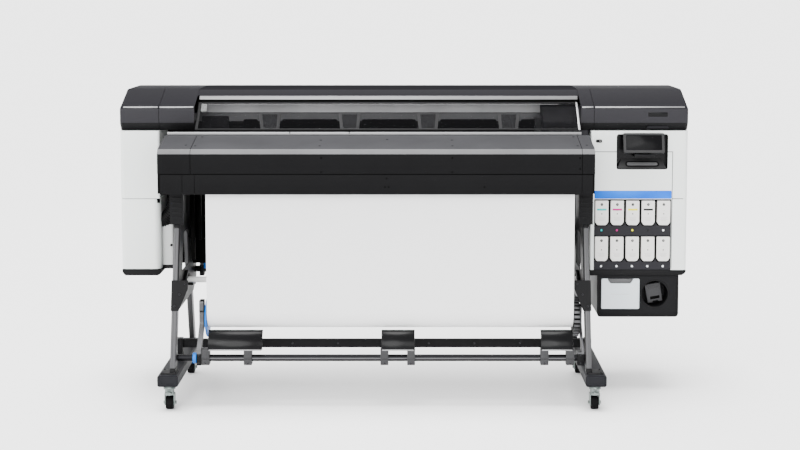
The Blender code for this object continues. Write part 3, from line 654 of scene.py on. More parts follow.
def struts():
    """Extruded struts with two flutes in front, between dark end caps."""
    for side, x in zip(("left", "right"), STRUT_X):
        for end in ("front", "rear"):
            name = side + "_" + end + "_strut"
            half = STRUT_HALF_DEPTH
            low_z, high_z = 0.186, 0.786
            outline = [(strut_y(end, low_z) - half, low_z), (strut_y(end, low_z) + half, low_z),
                (strut_y(end, high_z) + half, high_z), (strut_y(end, high_z) - half, high_z)]
            bar = slab(outline, "X", x - 0.0122, x + 0.0122)
            face = -half if end == "front" else half
            groove = []
            for depth in (-0.0035, 0.0035):
                for z in ((low_z - 0.02, high_z + 0.02) if depth < 0 else (high_z + 0.02, low_z - 0.02)):
                    groove.append((strut_y(end, z) + face + depth, z))
            bar = carve(eased(bar, 0.003), slab(groove, "X", x - 0.003, x - 0.0008))
            fix(bar, name + "_profile", STRUT_METAL, (name,))
            caps = []
            for low, high in ((0.1645, 0.1855), (0.7865, 0.7995)):
                caps.append(eased(slab([(strut_y(end, low) - half, low), (strut_y(end, low) + half, low),
                    (strut_y(end, high) + half, high), (strut_y(end, high) - half, high)], "X",
                    x - 0.0125, x + 0.0125), 0.003))
            fix(caps, name + "_caps", BLACK)


def foot_beams():
    for side, x in zip(("left", "right"), FOOT_X):
        node = side + "_foot_beam"
        refinish(node, FOOT_PAINT)
        low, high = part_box(node)
        for end, y, way in (("front", low.y, 1.0), ("rear", high.y, -1.0)):
            inside = tile((low.x + 0.004, high.x - 0.004, low.z + 0.004, high.z - 0.004), 0.004,
                min(y + way * 0.0015, y + way * 0.014), max(y + way * 0.0015, y + way * 0.014))
            pocket = tile((low.x + 0.013, high.x - 0.013, low.z + 0.011, high.z - 0.011), 0.004,
                min(y - way * 0.01, y + way * 0.004), max(y - way * 0.01, y + way * 0.004))
            cap = carve(eased(inside, 0.001, 2), pocket)
            fix(cap, side + "_" + end + "_beam_cap", FOOT_PAINT)
        shoes = []
        for end in ("front", "rear"):
            y = strut_y(end, 0.17)
            shoe = slab([(y - 0.042, 0.164), (y + 0.042, 0.164), (y + 0.036, 0.17), (y - 0.036, 0.17)],
                "X", x - 0.034, x + 0.034)
            strut = STRUT_X[0] if side == "left" else STRUT_X[1]
            hole = block((strut - 0.013, y - 0.031, 0.15), (strut + 0.013, y + 0.031, 0.18))
            shoes.append(carve(eased(shoe, 0.001, 2), hole))
        fix(shoes, side + "_strut_shoes", BLACK)
        heads = [(x + dx, strut_y(end, 0.17) + dy, 0.1705) for end in ("front", "rear")
            for dx in (-0.026, 0.024) for dy in (-0.03, 0.03)]
        screws(side + "_shoe_screws", heads, "Z", 0.0045, MACHINE)


def leg_brackets():
    for side, x, inward in (("left", STRUT_X[0], 1.0), ("right", STRUT_X[1], -1.0)):
        node = side + "_leg_bracket"
        refinish(node, BLACK_PAINT)
        heads = []
        for offset, z in ((0.0, 0.45), (0.022, 0.5), (0.045, 0.545)):
            y = strut_y("front", z) - STRUT_HALF_DEPTH - 0.0049
            heads.append((x + inward * offset, y, z))
        screws(side + "_knee_screws", heads, "-Y", 0.005, MACHINE)
        web = x + inward * 0.0172
        tray = []
        for low_y, low_z, high_y, high_z in ((-0.292, 0.462, -0.08, 0.565), (-0.06, 0.545, 0.15, 0.47)):
            run = Vector((high_y - low_y, high_z - low_z)).normalized() * 0.009
            outline = [(low_y - run.y, low_z + run.x), (low_y + run.y, low_z - run.x),
                (high_y + run.y, high_z - run.x), (high_y - run.y, high_z + run.x)]
            tray.append(eased(slab(outline, "X", min(web, web + inward * 0.014),
                max(web, web + inward * 0.014)), 0.002, 2))
        fix(tray, side + "_diagonal_ribs", BLACK_PAINT)
        trunk = []
        for offset, y, low, high in ((0.04, 0.02, 0.6, 0.944), (0.066, 0.052, 0.69, 0.944)):
            middle = x + inward * offset
            trunk.append(brick((middle - 0.009, y - 0.012, low), (middle + 0.009, y + 0.012, high),
                0.003))
        if side == "left":
            trunk.append(brick((-1.06, 0.16, 0.56), (-0.9, 0.2, 0.944), 0.004))
            trunk.append(brick((-1.11, 0.125, 0.78), (-1.062, 0.2, 0.95), 0.004))
        else:
            trunk.append(brick((0.782, 0.16, 0.56), (0.847, 0.2, 0.944), 0.004))
        fix(trunk, side + "_cable_ducts", DEEP_BLACK)
        head = x + inward * 0.001
        vents = []
        for row in range(5):
            z = 0.83 + row * 0.022
            vents.append(block((head - 0.022, -0.215, z), (head + 0.022, -0.212, z + 0.006)))
        fix([eased(vent, 0.001, 2) for vent in vents], side + "_head_ribs", BLACK)


def braces():
    refinish("cross_brace", BLACK_PAINT)
    refinish("take_up_crossbar", ROD_BLACK)
    refinish("input_crossbar", ROD_BLACK)
    # Painted highlight: a thin grey strip along the front of the take-up crossbar stands for the light
    # its round face catches.
    scale = slab(rounded([(TAKE_UP_ROD[0] - 0.0157, TAKE_UP_ROD[1] - 0.0035),
        (TAKE_UP_ROD[0] - 0.0135, TAKE_UP_ROD[1] - 0.0035), (TAKE_UP_ROD[0] - 0.0135,
        TAKE_UP_ROD[1] + 0.0035), (TAKE_UP_ROD[0] - 0.0157, TAKE_UP_ROD[1] + 0.0035)], 0.0006), "X",
        -0.885, 0.755)
    fix(scale, "crossbar_highlight_strip", ARM_GREY)
    low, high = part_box("cross_brace")
    holes = []
    count = 9
    for index in range(count):
        x = low.x + 0.12 + (high.x - low.x - 0.24) * index / (count - 1)
        holes.append((x, -0.0552, 0.225))
    screws("brace_screws", holes, "-Y", 0.005, MACHINE)
    low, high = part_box("tension_bar")
    centre = (low + high) / 2
    radius = (high.z - low.z) / 2
    half = (high.x - low.x) / 2
    bore = radius - 0.0025
    tube = lathe([(radius - 0.001, half), (radius, half - 0.001), (radius, 0.001 - half),
        (radius - 0.001, -half), (bore, -half), (bore, half)], "X", centre, 48, True)
    plugs = [disc("X", (centre.x + way * (half - 0.006), centre.y, centre.z), bore + 0.0002, 0.008)
        for way in (-1.0, 1.0)]
    fix([tube] + plugs, "parked_tension_bar", TUBE_WHITE, ("tension_bar",))


def casters():
    for side, x in zip(("left", "right"), FOOT_X):
        for end, y in zip(("front", "rear"), CASTER_Y):
            name = side + "_" + end + "_caster"
            fork = name + "_fork"
            wheel = name + "_wheel"
            refinish(fork, ZINC)
            axle_y = y + 0.012
            centre = (x, axle_y, 0.03)
            tyre = lathe([(0.0245, 0.0165), (0.0285, 0.016), (0.0298, 0.013), (0.03, 0.0),
                (0.0298, -0.013), (0.0285, -0.016), (0.0245, -0.0165), (0.023, -0.014), (0.023, 0.014)],
                "X", centre, 48, True)
            put(tyre, name + "_tyre", wheel, RUBBER, (wheel,))
            hub = lathe([(0.023, 0.0142), (0.023, -0.0142), (0.019, -0.0142), (0.017, -0.011),
                (0.01, -0.011), (0.0085, -0.0165), (0.0045, -0.0165), (0.0045, 0.0165), (0.0085, 0.0165),
                (0.01, 0.011), (0.017, 0.011), (0.019, 0.0142)], "X", centre, 40, True)
            put(hub, name + "_wheel_hub", wheel, BLACK)
            nuts = []
            for way in (-1.0, 1.0):
                nuts.append(disc("X", (x + way * 0.0262, axle_y, 0.03), 0.0075, 0.0045, 0.0008, 6))
            race = lathe([(0.0262, 0.004), (0.0275, 0.0), (0.0262, -0.004), (0.0212, -0.004),
                (0.0212, 0.004)], "Z", (x, y, 0.098), 32, True)
            put(nuts + [race], name + "_nuts_and_race", fork, ZINC)
            way = -1.0 if end == "front" else 1.0
            lever = slab(rounded([(x - 0.014, y + way * 0.018), (x + 0.014, y + way * 0.018),
                (x + 0.016, y + way * 0.044), (x - 0.016, y + way * 0.044)], 0.004), "Z", 0.0795, 0.0835)
            ribs = [lever]
            for row in range(3):
                rib_y = y + way * (0.028 + row * 0.006)
                ribs.append(block((x - 0.011, rib_y - 0.0012, 0.0833),
                    (x + 0.011, rib_y + 0.0012, 0.085)))
            put([eased(rib, 0.0006, 2) for rib in ribs], name + "_brake_lever", fork, ZINC)


# ---------------------------------------------------------------- roll holders and media
def knob(name, centre, radius, thickness, body):
    """Lobed hand knob turned about X."""
    lobes = 8
    outline = []
    for step in range(lobes * 8):
        angle = 2 * pi * step / (lobes * 8)
        reach = radius * (1.0 - 0.07 * (1.0 - cos(lobes * angle)) / 2)
        outline.append((centre[1] + reach * cos(angle), centre[2] + reach * sin(angle)))
    body_of_knob = eased(slab(outline, "X", centre[0] - thickness / 2, centre[0] + thickness / 2), 0.002,
        3)
    put(body_of_knob, name, body, BLUE)


def toothed_rim(centre_x, axis, radius, width, teeth=40):
    """Thick disc with a knurled rim, as the friction flanges of a roll holder have."""
    outline = []
    for tooth in range(teeth):
        for share, drop in ((0.0, 0.0), (0.55, 0.0), (0.62, 0.006), (0.93, 0.006)):
            angle = 2 * pi * (tooth + share) / teeth
            outline.append((axis[0] + (radius - drop) * cos(angle),
                axis[1] + (radius - drop) * sin(angle)))
    return slab(outline, "X", centre_x - width / 2, centre_x + width / 2)


def roll_arms():
    for node in ("left_take_up_arm", "right_take_up_arm", "left_input_arm", "right_input_arm"):
        refinish(node, ARM_GREY)
        low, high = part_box(node)
        rod_place, axis_place = (TAKE_UP_ROD, TAKE_UP_AXIS) if "take_up" in node else (INPUT_ROD,
            INPUT_AXIS)
        middle = (low.x + high.x) / 2
        half = (high.x - low.x) / 2
        cap = eased(slab(rounded([(axis_place[0] - 0.0265, axis_place[1] + 0.02),
            (axis_place[0] + 0.0265, axis_place[1] + 0.02), (axis_place[0] + 0.024, high.z + 0.0),
            (axis_place[0] - 0.024, high.z + 0.0)], 0.006), "X", low.x - 0.0005, high.x + 0.0005), 0.001,
            2)
        clamp = eased(slab(rounded([(rod_place[0] - 0.027, rod_place[1] - 0.03),
            (rod_place[0] + 0.027, rod_place[1] - 0.03), (rod_place[0] + 0.027, rod_place[1] + 0.024),
            (rod_place[0] - 0.027, rod_place[1] + 0.024)], 0.006), "X", low.x - 0.0005, high.x + 0.0005),
            0.001, 2)
        clamp = carve(clamp, disc("X", (middle, *rod_place), 0.0152, half * 2 + 0.02, 0.0001, 40))
        fix([cap, clamp], node + "_cap_and_clamp", BLACK)
        screws(node + "_screws", [(middle, rod_place[0] - 0.0275, rod_place[1] + dz)
            for dz in (-0.018, 0.017)], "-Y", 0.004, MACHINE)
    knob("take_up_lock_knob", (-0.9245, TAKE_UP_ROD[0] - 0.012, TAKE_UP_ROD[1] + 0.002), 0.024, 0.016,
        MACHINE)
    knob("input_lock_knob", (-0.946, INPUT_ROD[0] - 0.005, INPUT_ROD[1] + 0.028), 0.028, 0.018, MACHINE)


def spindles():
    left = SHEET_LOW.x - 0.002
    right = SHEET_HIGH.x + 0.002
    radius = 0.09
    low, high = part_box("take_up_spindle")
    axis = TAKE_UP_AXIS
    pale = lathe([(0.0449, right - 0.0021), (0.0449, left + 0.0021), (0.0, left + 0.0021)][:2]
        + [(0.04, left + 0.0021), (0.04, right - 0.0021)], "X", (0.0, *axis), 64, True)
    put(pale, "take_up_core_wraps", "take_up_spindle", WOUND, ("take_up_spindle",))
    shaft = lathe([(0.0, high.x), (0.0098, high.x), (0.0098, right), (0.039, right), (0.039, left),
        (0.0098, left), (0.0098, low.x), (0.0, low.x)], "X", (0.0, *axis), 40)
    put(shaft, "take_up_shaft", "take_up_spindle", ARM_GREY)
    flange = lathe([(0.03, left - 0.0145), (0.056, left - 0.0145)][::-1] + [(0.01, left - 0.0145),
        (0.01, left - 0.0005), (0.086, left - 0.0005), (0.0895, left - 0.002), (0.09, left - 0.005),
        (0.0885, left - 0.0068), (0.078, left - 0.0072), (0.076, left - 0.01)][::-1], "X", (0.0, *axis),
        64, True)
    put(flange, "take_up_left_flange", "take_up_spindle", BLUE)
    rim = eased(toothed_rim(right + 0.0137, axis, radius - 0.001, 0.025, 26), 0.0012, 2)
    put(rim, "take_up_right_flange", "take_up_spindle", ARM_GREY)
    core = disc("X", (right + 0.0142, *axis), radius - 0.0055, 0.0262, 0.0012, 64)
    put(core, "take_up_right_drum", "take_up_spindle", DEEP_BLACK)

    low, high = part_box("input_spindle")
    axis = INPUT_AXIS
    body = "input_roll"
    shaft = lathe([(0.0, high.x), (0.0098, high.x), (0.0098, right), (0.036, right),
        (0.036, right - 0.06), (0.018, right - 0.07), (0.018, left + 0.07), (0.036, left + 0.06),
        (0.036, left), (0.029, left), (0.029, left - 0.078), (0.0098, left - 0.078), (0.0098, low.x),
        (0.0, low.x)], "X", (0.0, *axis), 40)
    put(shaft, "input_shaft", body, ARM_GREY, ("input_spindle",))
    flange = lathe([(0.076, left - 0.01), (0.078, left - 0.0072), (0.0885, left - 0.0068),
        (0.09, left - 0.005), (0.0895, left - 0.002), (0.086, left - 0.0005), (0.029, left - 0.0005),
        (0.029, left - 0.0145), (0.056, left - 0.0145)][::-1], "X", (0.0, *axis), 64, True)
    put(flange, "input_left_flange", body, BLUE)
    rim = eased(toothed_rim(right + 0.0062, axis, radius - 0.001, 0.01), 0.0008, 2)
    put(rim, "input_right_flange", body, ARM_GREY)
    low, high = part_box("media_roll")
    outer = (high.z - low.z) / 2
    profile = [(outer, high.x - 0.0006), (outer, low.x + 0.0006)]
    wraps = 9
    for wrap in range(wraps):
        reach = outer - 0.0004 - (outer - 0.038) * wrap / wraps
        profile.append((reach, low.x + (0.0002 if wrap % 2 else 0.0012)))
        profile.append((reach - (outer - 0.038) / wraps + 0.0006,
            low.x + (0.0002 if wrap % 2 else 0.0012)))
    profile += [(0.0376, low.x), (0.0376, high.x)]
    for wrap in range(wraps - 1, -1, -1):
        reach = outer - 0.0004 - (outer - 0.038) * wrap / wraps
        profile.append((reach - (outer - 0.038) / wraps + 0.0006,
            high.x - (0.0002 if wrap % 2 else 0.0012)))
        profile.append((reach, high.x - (0.0002 if wrap % 2 else 0.0012)))
    put(lathe(profile, "X", (0.0, *axis), 72, True), "wound_media", body, WOUND,
        ("media_roll",))


def media_path():
    """Y and Z of the web's middle line, from the front module to the underside of the take-up core."""
    front = SHEET_LOW.y + 0.0005
    bend = abs(TAKE_UP_AXIS[0] - front)
    centre = (TAKE_UP_AXIS[0], SHEET_LOW.z + 0.0005 + bend)
    straight = [(front, SHEET_HIGH.z - (SHEET_HIGH.z - centre[1]) * step / 28) for step in range(28)]
    return straight + arc(centre, bend, 180, 270, 16)


def media_web():
    """Film with a slow cockle across its width, thinner than the CAD slab that it replaces."""
    path = media_path()
    left = SHEET_LOW.x
    width = SHEET_HIGH.x - SHEET_LOW.x
    columns = 80
    shape = bmesh.new()
    rows = []
    for y, z in path:
        fall = max(0.0, min(1.0, (1.02 - z) / 0.3))
        near_core = max(0.0, min(1.0, (z - 0.365) / 0.08))
        row = []
        for column in range(columns + 1):
            share = column / columns
            wave = sin(share * 9.0 + z * 1.7) * 0.0007 + sin(share * 23.0 - z * 4.0) * 0.0003
            row.append(shape.verts.new((left + share * width, y + wave * fall * near_core * 0.6, z)))
        rows.append(row)
    for upper, lower in zip(rows, rows[1:]):
        for column in range(columns):
            shape.faces.new((upper[column], lower[column], lower[column + 1], upper[column + 1]))
    mesh = bpy.data.meshes.new("web")
    shape.to_mesh(mesh)
    shape.free()
    web = loose(mesh)
    film = web.modifiers.new("film", "SOLIDIFY")
    film.thickness = 0.0003
    film.offset = 0.0
    web = put(web, "media_web", MACHINE, VINYL, ("media_sheet",), 60.0)


def deflectors():
    for node in ("left_deflector", "centre_deflector", "right_deflector"):
        rod_y, rod_z = TAKE_UP_ROD
        shield_ends = {"left_deflector": (-0.866, -0.625), "centre_deflector": (-0.099, 0.048),
            "right_deflector": (0.606, 0.748)}[node]
        face = arc((rod_y + 0.075, 0.258), 0.0998, 178, 123, 14)
        back = arc((rod_y + 0.075, 0.258), 0.0972, 123, 178, 14)
        shield = eased(slab(face + back, "X", *shield_ends), 0.0008, 2)
        fix(shield, node + "_shield", GLOSS_BLACK, (node,))
        lip = eased(slab(arc((rod_y + 0.075, 0.258), 0.1, 180.5, 177.6, 2) + arc((rod_y + 0.075, 0.258),
            0.093, 177.6, 180.5, 2), "X", shield_ends[0] + 0.004, shield_ends[1] - 0.004), 0.0005, 2)
        fix(lip, node + "_lip", SILVER)
        centres = {"left_deflector": (-0.877, -0.69), "centre_deflector": (-0.086, 0.032),
            "right_deflector": (0.622, 0.735)}[node]
        clamps = []
        for centre in centres:
            outline = rounded([(rod_y - 0.025, rod_z - 0.029), (rod_y + 0.021, rod_z - 0.029),
                (rod_y + 0.021, rod_z + 0.043), (rod_y - 0.025, rod_z + 0.043)], 0.008)
            clamp = eased(slab(outline, "X", centre - 0.0175, centre + 0.0175), 0.0015, 2)
            clamp = carve(clamp, disc("X", (centre, rod_y, rod_z), 0.0152, 0.06, 0.0001, 40),
                block((centre - 0.03, rod_y - 0.04, rod_z - 0.001),
                (centre + 0.03, rod_y, rod_z + 0.001)))
            clamps.append(clamp)
        fix(clamps, node + "_clamps", HOLDER_GREY)
        screws(node + "_screws", [(c, rod_y - 0.0255, rod_z - 0.019) for c in centres], "-Y", 0.0035,
            MACHINE)


# ---------------------------------------------------------------- printing section
def shell(outline, low, high, gone, ease, segments=4, thickness=0.0028):
    return skin(eased(open_up(slab(outline, "X", low, high), gone), ease, segments), thickness)


def cap_outline():
    return [(TOWER_FRONT, 1.2385), (TOWER_FRONT, 1.3145), (RIDGE_Y - 0.002, 1.3886),
        (CAD_BACK - 0.0003, 1.3886), (CAD_BACK - 0.0003, 1.2097), (-0.045, 1.2097)]


def hood():
    down = (0, 0, -1)
    for side, outer, inner, seam in (("left", LEFT_TOWER[0], CAP_INNER[0], CAP_SEAM[0]),
            ("right", RIGHT_TOWER[1], CAP_INNER[1], CAP_SEAM[1])):
        node = side + "_hood_cap"
        inward = 1.0 if inner > outer else -1.0
        outside = shell(cap_outline(), min(outer, seam - inward * 0.001),
            max(outer, seam - inward * 0.001), [down, (inward, 0, 0)], 0.014, 6)
        outside = fix(outside, node + "_outer", CHARCOAL, (node,))
        # Painted shade: upward faces take the darker top copy, and faces looking down are painted black
        # as the shaded underside.
        paint_light_and_shade_by_facing(outside, CHARCOAL_TOP_SHADE, (0.0, 0.0, 1.0), 0.45)
        paint_light_and_shade_by_facing(outside, BLACK, (0.0, 0.0, -1.0), 0.25)
        inside = shell(cap_outline(), min(inner, seam + inward * 0.001),
            max(inner, seam + inward * 0.001), [down, (-1, 0, 0), (1, 0, 0)], 0.014, 6)
        inside = fix(inside, node + "_inner", CHARCOAL)
        # The same painted shade on the inner cap: darker tops, black underside.
        paint_light_and_shade_by_facing(inside, CHARCOAL_TOP_SHADE, (0.0, 0.0, 1.0), 0.45)
        paint_light_and_shade_by_facing(inside, BLACK, (0.0, 0.0, -1.0), 0.25)
        # Painted shade: a deep black liner inside the seam between the outer and inner cap stands for the
        # shade in the gap.
        liner = [(TOWER_FRONT + 0.0035, 1.242), (TOWER_FRONT + 0.0035, 1.31), (RIDGE_Y - 0.01, 1.379),
            (RIDGE_Y + 0.014, 1.3845), (CAD_BACK - 0.008, 1.3845), (CAD_BACK - 0.004, 1.378),
            (CAD_BACK - 0.004, 1.2135), (-0.043, 1.2135)]
        fix(eased(slab(liner, "X", seam - 0.006, seam + 0.006), 0.001, 2), node + "_seam_shade_liner",
            DEEP_BLACK)
        # Painted highlight: thin silver strips along the caps' front top edge stand for the light caught
        # by the rounded edge.
        edge_highlights = []
        for first, last in ((inner, seam), (seam, outer + inward * 0.014)):
            profile = [(TOWER_FRONT + 0.0004, 1.312), (-0.0652, 1.3172), (-0.0602, 1.3188),
                (-0.0618, 1.314)]
            edge_highlights.append(eased(slab(profile, "X", min(first, last) + 0.004, max(first, last) - 0.004),
                0.0006, 2))
        fix(edge_highlights, node + "_edge_highlight", SILVER)
    top = shell([(0.05, 1.361), (RIDGE_Y - 0.012, 1.384), (RIDGE_Y + 0.014, 1.3886),
        (CAD_BACK - 0.006, 1.3886), (CAD_BACK - 0.0003, 1.38), (CAD_BACK - 0.0003, 1.2097),
        (0.05, 1.2097)], CAP_INNER[0] + 0.0012, CAP_INNER[1] - 0.0012,
        [down, (1, 0, 0), (-1, 0, 0), (0, -1, 0)], 0.003)
    # Painted shade: the lid takes the darker top copy of the charcoal, and its flat top faces take the
    # darkest copy.
    top = fix(top, "hood_lid", CHARCOAL_TOP_SHADE, ("hood",))
    paint_light_and_shade_by_facing(top, CHARCOAL_GRIP_AND_TOP_SHADE, (0.0, 0.0, 1.0), 0.97)
    length = CAP_INNER[1] - CAP_INNER[0]
    gap = slab([(0.044, 1.33), (0.05, 1.33), (0.06, 1.36), (0.054, 1.36)], "X", CAP_INNER[0] + 0.004,
        CAP_INNER[1] - 0.004)
    fix(eased(gap, 0.0006, 2), "hood_shadow_strip", DEEP_BLACK)
    strip = eased(slab(rounded([(0.0425, 1.343), (0.0485, 1.343), (0.0555, 1.359), (0.0495, 1.359)],
        0.001), "X", CAP_INNER[0] + 0.01, CAP_INNER[1] - 0.006), 0.0008, 2)
    fix(strip, "upper_silver_strip", SILVER)
    ribs = []
    for index in range(22):
        x = CAP_INNER[0] + 0.06 + (length - 0.12) * index / 21
        ribs.append(brick((x - 0.02, CAD_BACK - 0.003, 1.262), (x + 0.02, CAD_BACK, 1.268), 0.001))
        ribs.append(brick((x - 0.02, CAD_BACK - 0.003, 1.28), (x + 0.02, CAD_BACK, 1.286), 0.001))
    fix(ribs, "hood_back_louvres", DEEP_BLACK)
    badge = tile((1.108, 1.196, 1.272, 1.292), 0.003, TOWER_FRONT - 0.0006, TOWER_FRONT + 0.001)
    fix(eased(badge, 0.0004, 2), "blank_badge", GLOSS_BLACK)
    grip = slab(rounded([(1.1, 1.218), (1.206, 1.218), (1.198, 1.23), (1.108, 1.23)], 0.003), "Y",
        -0.0635, -0.056)
    fix(eased(grip, 0.001, 2), "cap_grip", CHARCOAL_GRIP_AND_TOP_SHADE)


def rear_cover():
    left = LEFT_TOWER[1] + 0.0008
    right = RIGHT_TOWER[0] - 0.0008
    outline = [(CAD_BACK - 0.0003, 1.2078), (CAD_BACK - 0.0003, 1.07), (0.408, 1.045), (0.36, 0.961),
        (0.214, 0.961), (0.214, 1.2078)]
    wall = shell(outline, left, right, [(0, 0, 1), (1, 0, 0), (-1, 0, 0), (0, -1, 0), (0, 0, -1)], 0.006)
    fix(wall, "rear_wall", CHARCOAL, ("rear_cover",))
    louvres = []
    for group in range(4):
        for row in range(6):
            x = left + 0.25 + group * (right - left - 0.5) / 3
            z = 1.09 + row * 0.014
            louvres.append(brick((x - 0.085, CAD_BACK - 0.0032, z), (x + 0.085, CAD_BACK, z + 0.0055),
                0.0012))
    fix(louvres, "rear_louvres", DEEP_BLACK)
    seams = []
    for x in (left + 0.49, right - 0.49):
        seams.append(block((x - 0.001, CAD_BACK - 0.002, 1.062), (x + 0.001, CAD_BACK, 1.206)))
    fix(seams, "rear_seams", DEEP_BLACK)
    places = [(left + 0.03 + (right - left - 0.06) * index / 8, CAD_BACK - 0.0022, 1.19)
        for index in range(9)]
    heads = []
    for place in places:
        heads.append(lathe([(0.0, 0.002), (0.0045, 0.002), (0.005, 0.001), (0.005, -0.002),
            (0.0, -0.002)], "Y", place, 12))
    fix(heads, "rear_screws", STEEL)


def module_piece(name, left, right, outline, stands_for=(), ease=0.0015):
    """One length of the front module, dark in front; on the upper lengths the bevel gets a painted
    highlight and the sloped top painted light, a grey copy.
    """
    length = slab(outline, "X", left, right)
    gone = [(0, 0, -1), (1, 0, 0), (-1, 0, 0), (0, 1, 0)]
    piece = fix(skin(eased(open_up(length, gone), ease, 3), 0.0025), name, MODULE_FACE,
        stands_for)
    # Painted light: the upward faces of the upper lengths get a bright copy as the bevel's highlight and
    # a lighter grey copy on the top.
    if name.startswith("module_upper"):
        paint_light_and_shade_by_facing(piece, MODULE_EDGE_HIGHLIGHT, (0.0, 0.0, 1.0), 0.3)
        paint_light_and_shade_by_facing(piece, MODULE_TOP_LIT, (0.0, 0.0, 1.0), 0.9)


def front_module():
    upper = [(MODULE_FRONT, 1.044), (MODULE_FRONT, 1.131), (-0.335, 1.151), (-0.125, 1.193),
        (-0.1185, 1.1928), (-0.1185, 1.044)]
    lower = [(MODULE_FRONT, 0.953), (MODULE_FRONT, 1.0398), (-0.1185, 1.0398), (-0.1185, 0.953)]
    cuts = (MODULE_ENDS[0], MODULE_SEAMS[0], MODULE_SEAMS[1], MODULE_ENDS[1])
    for index, label in enumerate(("left", "centre", "right")):
        module_piece("module_upper_" + label, cuts[index] + 0.0011, cuts[index + 1] - 0.0011, upper,
            ("curing_housing",) if label == "centre" else ())
    cuts = (-1.066, -0.968, -0.914, 0.779, 0.827)
    for index in range(4):
        module_piece("module_lower_" + str(index + 1), cuts[index] + 0.0009, cuts[index + 1] - 0.0009,
            lower)
    for side, x, way in (("left", MODULE_ENDS[0], 1.0), ("right", MODULE_ENDS[1], -1.0)):
        outline = [(MODULE_FRONT + 0.0012, 0.956), (MODULE_FRONT + 0.0012, 1.13), (-0.3345, 1.1495),
            (-0.125, 1.1915), (-0.119, 1.1915), (-0.119, 0.956)]
        plate = slab(outline, "X", min(x + way * 0.0015, x + way * 0.006),
            max(x + way * 0.0015, x + way * 0.006))
        fix(eased(plate, 0.0015, 3), side + "_module_cheek", MODULE_FACE)
    # Deep black walls inside the module: they close its open back, and their black is painted shade seen
    # through the seams.
    back = block((MODULE_ENDS[0] + 0.008, -0.1205, 0.956), (MODULE_ENDS[1] - 0.008, -0.1182, 1.1915))
    liner = block((MODULE_ENDS[0] + 0.0065, -0.347, 0.957), (MODULE_ENDS[1] - 0.0065, -0.344, 1.045))
    fix([eased(back, 0.0006, 2), eased(liner, 0.0006, 2)], "module_seam_shade_wall", DEEP_BLACK)
    top = []
    slope = (1.193 - 1.151) / (-0.125 + 0.335)
    for x, y in ((-0.905, -0.15), (-0.96, -0.275), (-0.918, -0.285), (-0.37, -0.2), (-0.37, -0.285),
            (-0.075, -0.19), (0.214, -0.2), (0.214, -0.285), (0.76, -0.15), (0.765, -0.285),
            (0.806, -0.275)):
        z = 1.151 + slope * (y + 0.335)
        top.append(disc("Z", (x, y, z + 0.0003), 0.005, 0.0012, 0.0004, 16))
    fix(top, "module_top_screws", DEEP_BLACK)
    front = []
    for x, z in ((-0.36, 1.114), (-0.36, 1.052), (0.212, 1.114), (0.212, 1.052), (0.781 - 0.012, 1.114),
            (0.781 - 0.012, 1.066), (-0.075, 1.024), (-0.082, 0.986), (-0.066, 0.986), (0.353, 0.986)):
        front.append(disc("Y", (x, MODULE_FRONT + 0.0002, z), 0.0042, 0.0012, 0.0004, 16))
    fix(front, "module_front_screws", DEEP_BLACK)
    rollers = []
    for index in range(24):
        x = SHEET_LOW.x + 0.03 + (SHEET_HIGH.x - SHEET_LOW.x - 0.06) * index / 23
        rollers.append(disc("X", (x, -0.285, 0.98), 0.012, 0.02, 0.002, 24))
    fix(rollers, "exit_star_wheels", BLACK)
    sill = slab([(-0.1165, 1.1935), (-0.1075, 1.1935), (-0.1085, 1.2065), (-0.1165, 1.2065)], "X",
        MODULE_ENDS[0] + 0.01, CAP_INNER[1] - 0.004)
    sill = eased(sill, 0.0006, 2)
    for x in (-0.515, -0.247):
        sill = carve(sill, block((x - 0.0025, -0.13, 1.1985), (x + 0.0025, -0.1, 1.22)))
    fix(sill, "silver_sill", SILVER)


def window():
    """Smoked lid with pale end strips, a lower lip and a hinge rod along its upper edge."""
    node = "front_window"
    top = Vector(WINDOW_TOP)
    foot = Vector(WINDOW_FOOT)
    along = (foot - top).normalized()
    across = Vector((-along.y, along.x))
    low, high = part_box(node)

    def strip(start, end, thin, thick, left, right):
        a = top + along * start
        b = top + along * end
        outline = [tuple(a + across * thick), tuple(b + across * thick), tuple(b + across * thin),
            tuple(a + across * thin)]
        return slab(outline, "X", left, right)

    length = (foot - top).length
    pane = strip(0.002, length - 0.001, -0.0016, 0.0016, low.x + 0.0135, high.x - 0.009)
    put(eased(pane, 0.0006, 2), "window_pane", node, WINDOW, (node,))
    ends = (("left", low.x, low.x + 0.0135, BLACK), ("right", high.x - 0.009, high.x, SILVER))
    for side, first, last, finish in ends:
        end = eased(strip(0.001, length, -0.0019, 0.0019, first, last), 0.0006, 2)
        put(end, side + "_window_strip", node, finish)
    block_at_top = strip(0.008, 0.058, 0.0016, 0.0024, low.x + 0.014, low.x + 0.04)
    put(eased(block_at_top, 0.0004, 2), "window_catch", node, GREY_WHITE)
    line = strip(0.009, 0.0125, 0.0015, 0.0021, low.x + 0.045, high.x - 0.09)
    put(eased(line, 0.0002, 2), "window_light_line", node, DUCT_GREY)
    rail = [strip(length - 0.008, length, -0.0019, 0.0019, low.x + 0.0137, high.x - 0.0092),
        strip(0.0, 0.006, -0.0019, 0.0019, low.x + 0.0137, high.x - 0.0092)]
    put([eased(part, 0.0006, 2) for part in rail], "window_edge_rails", node, BLACK)


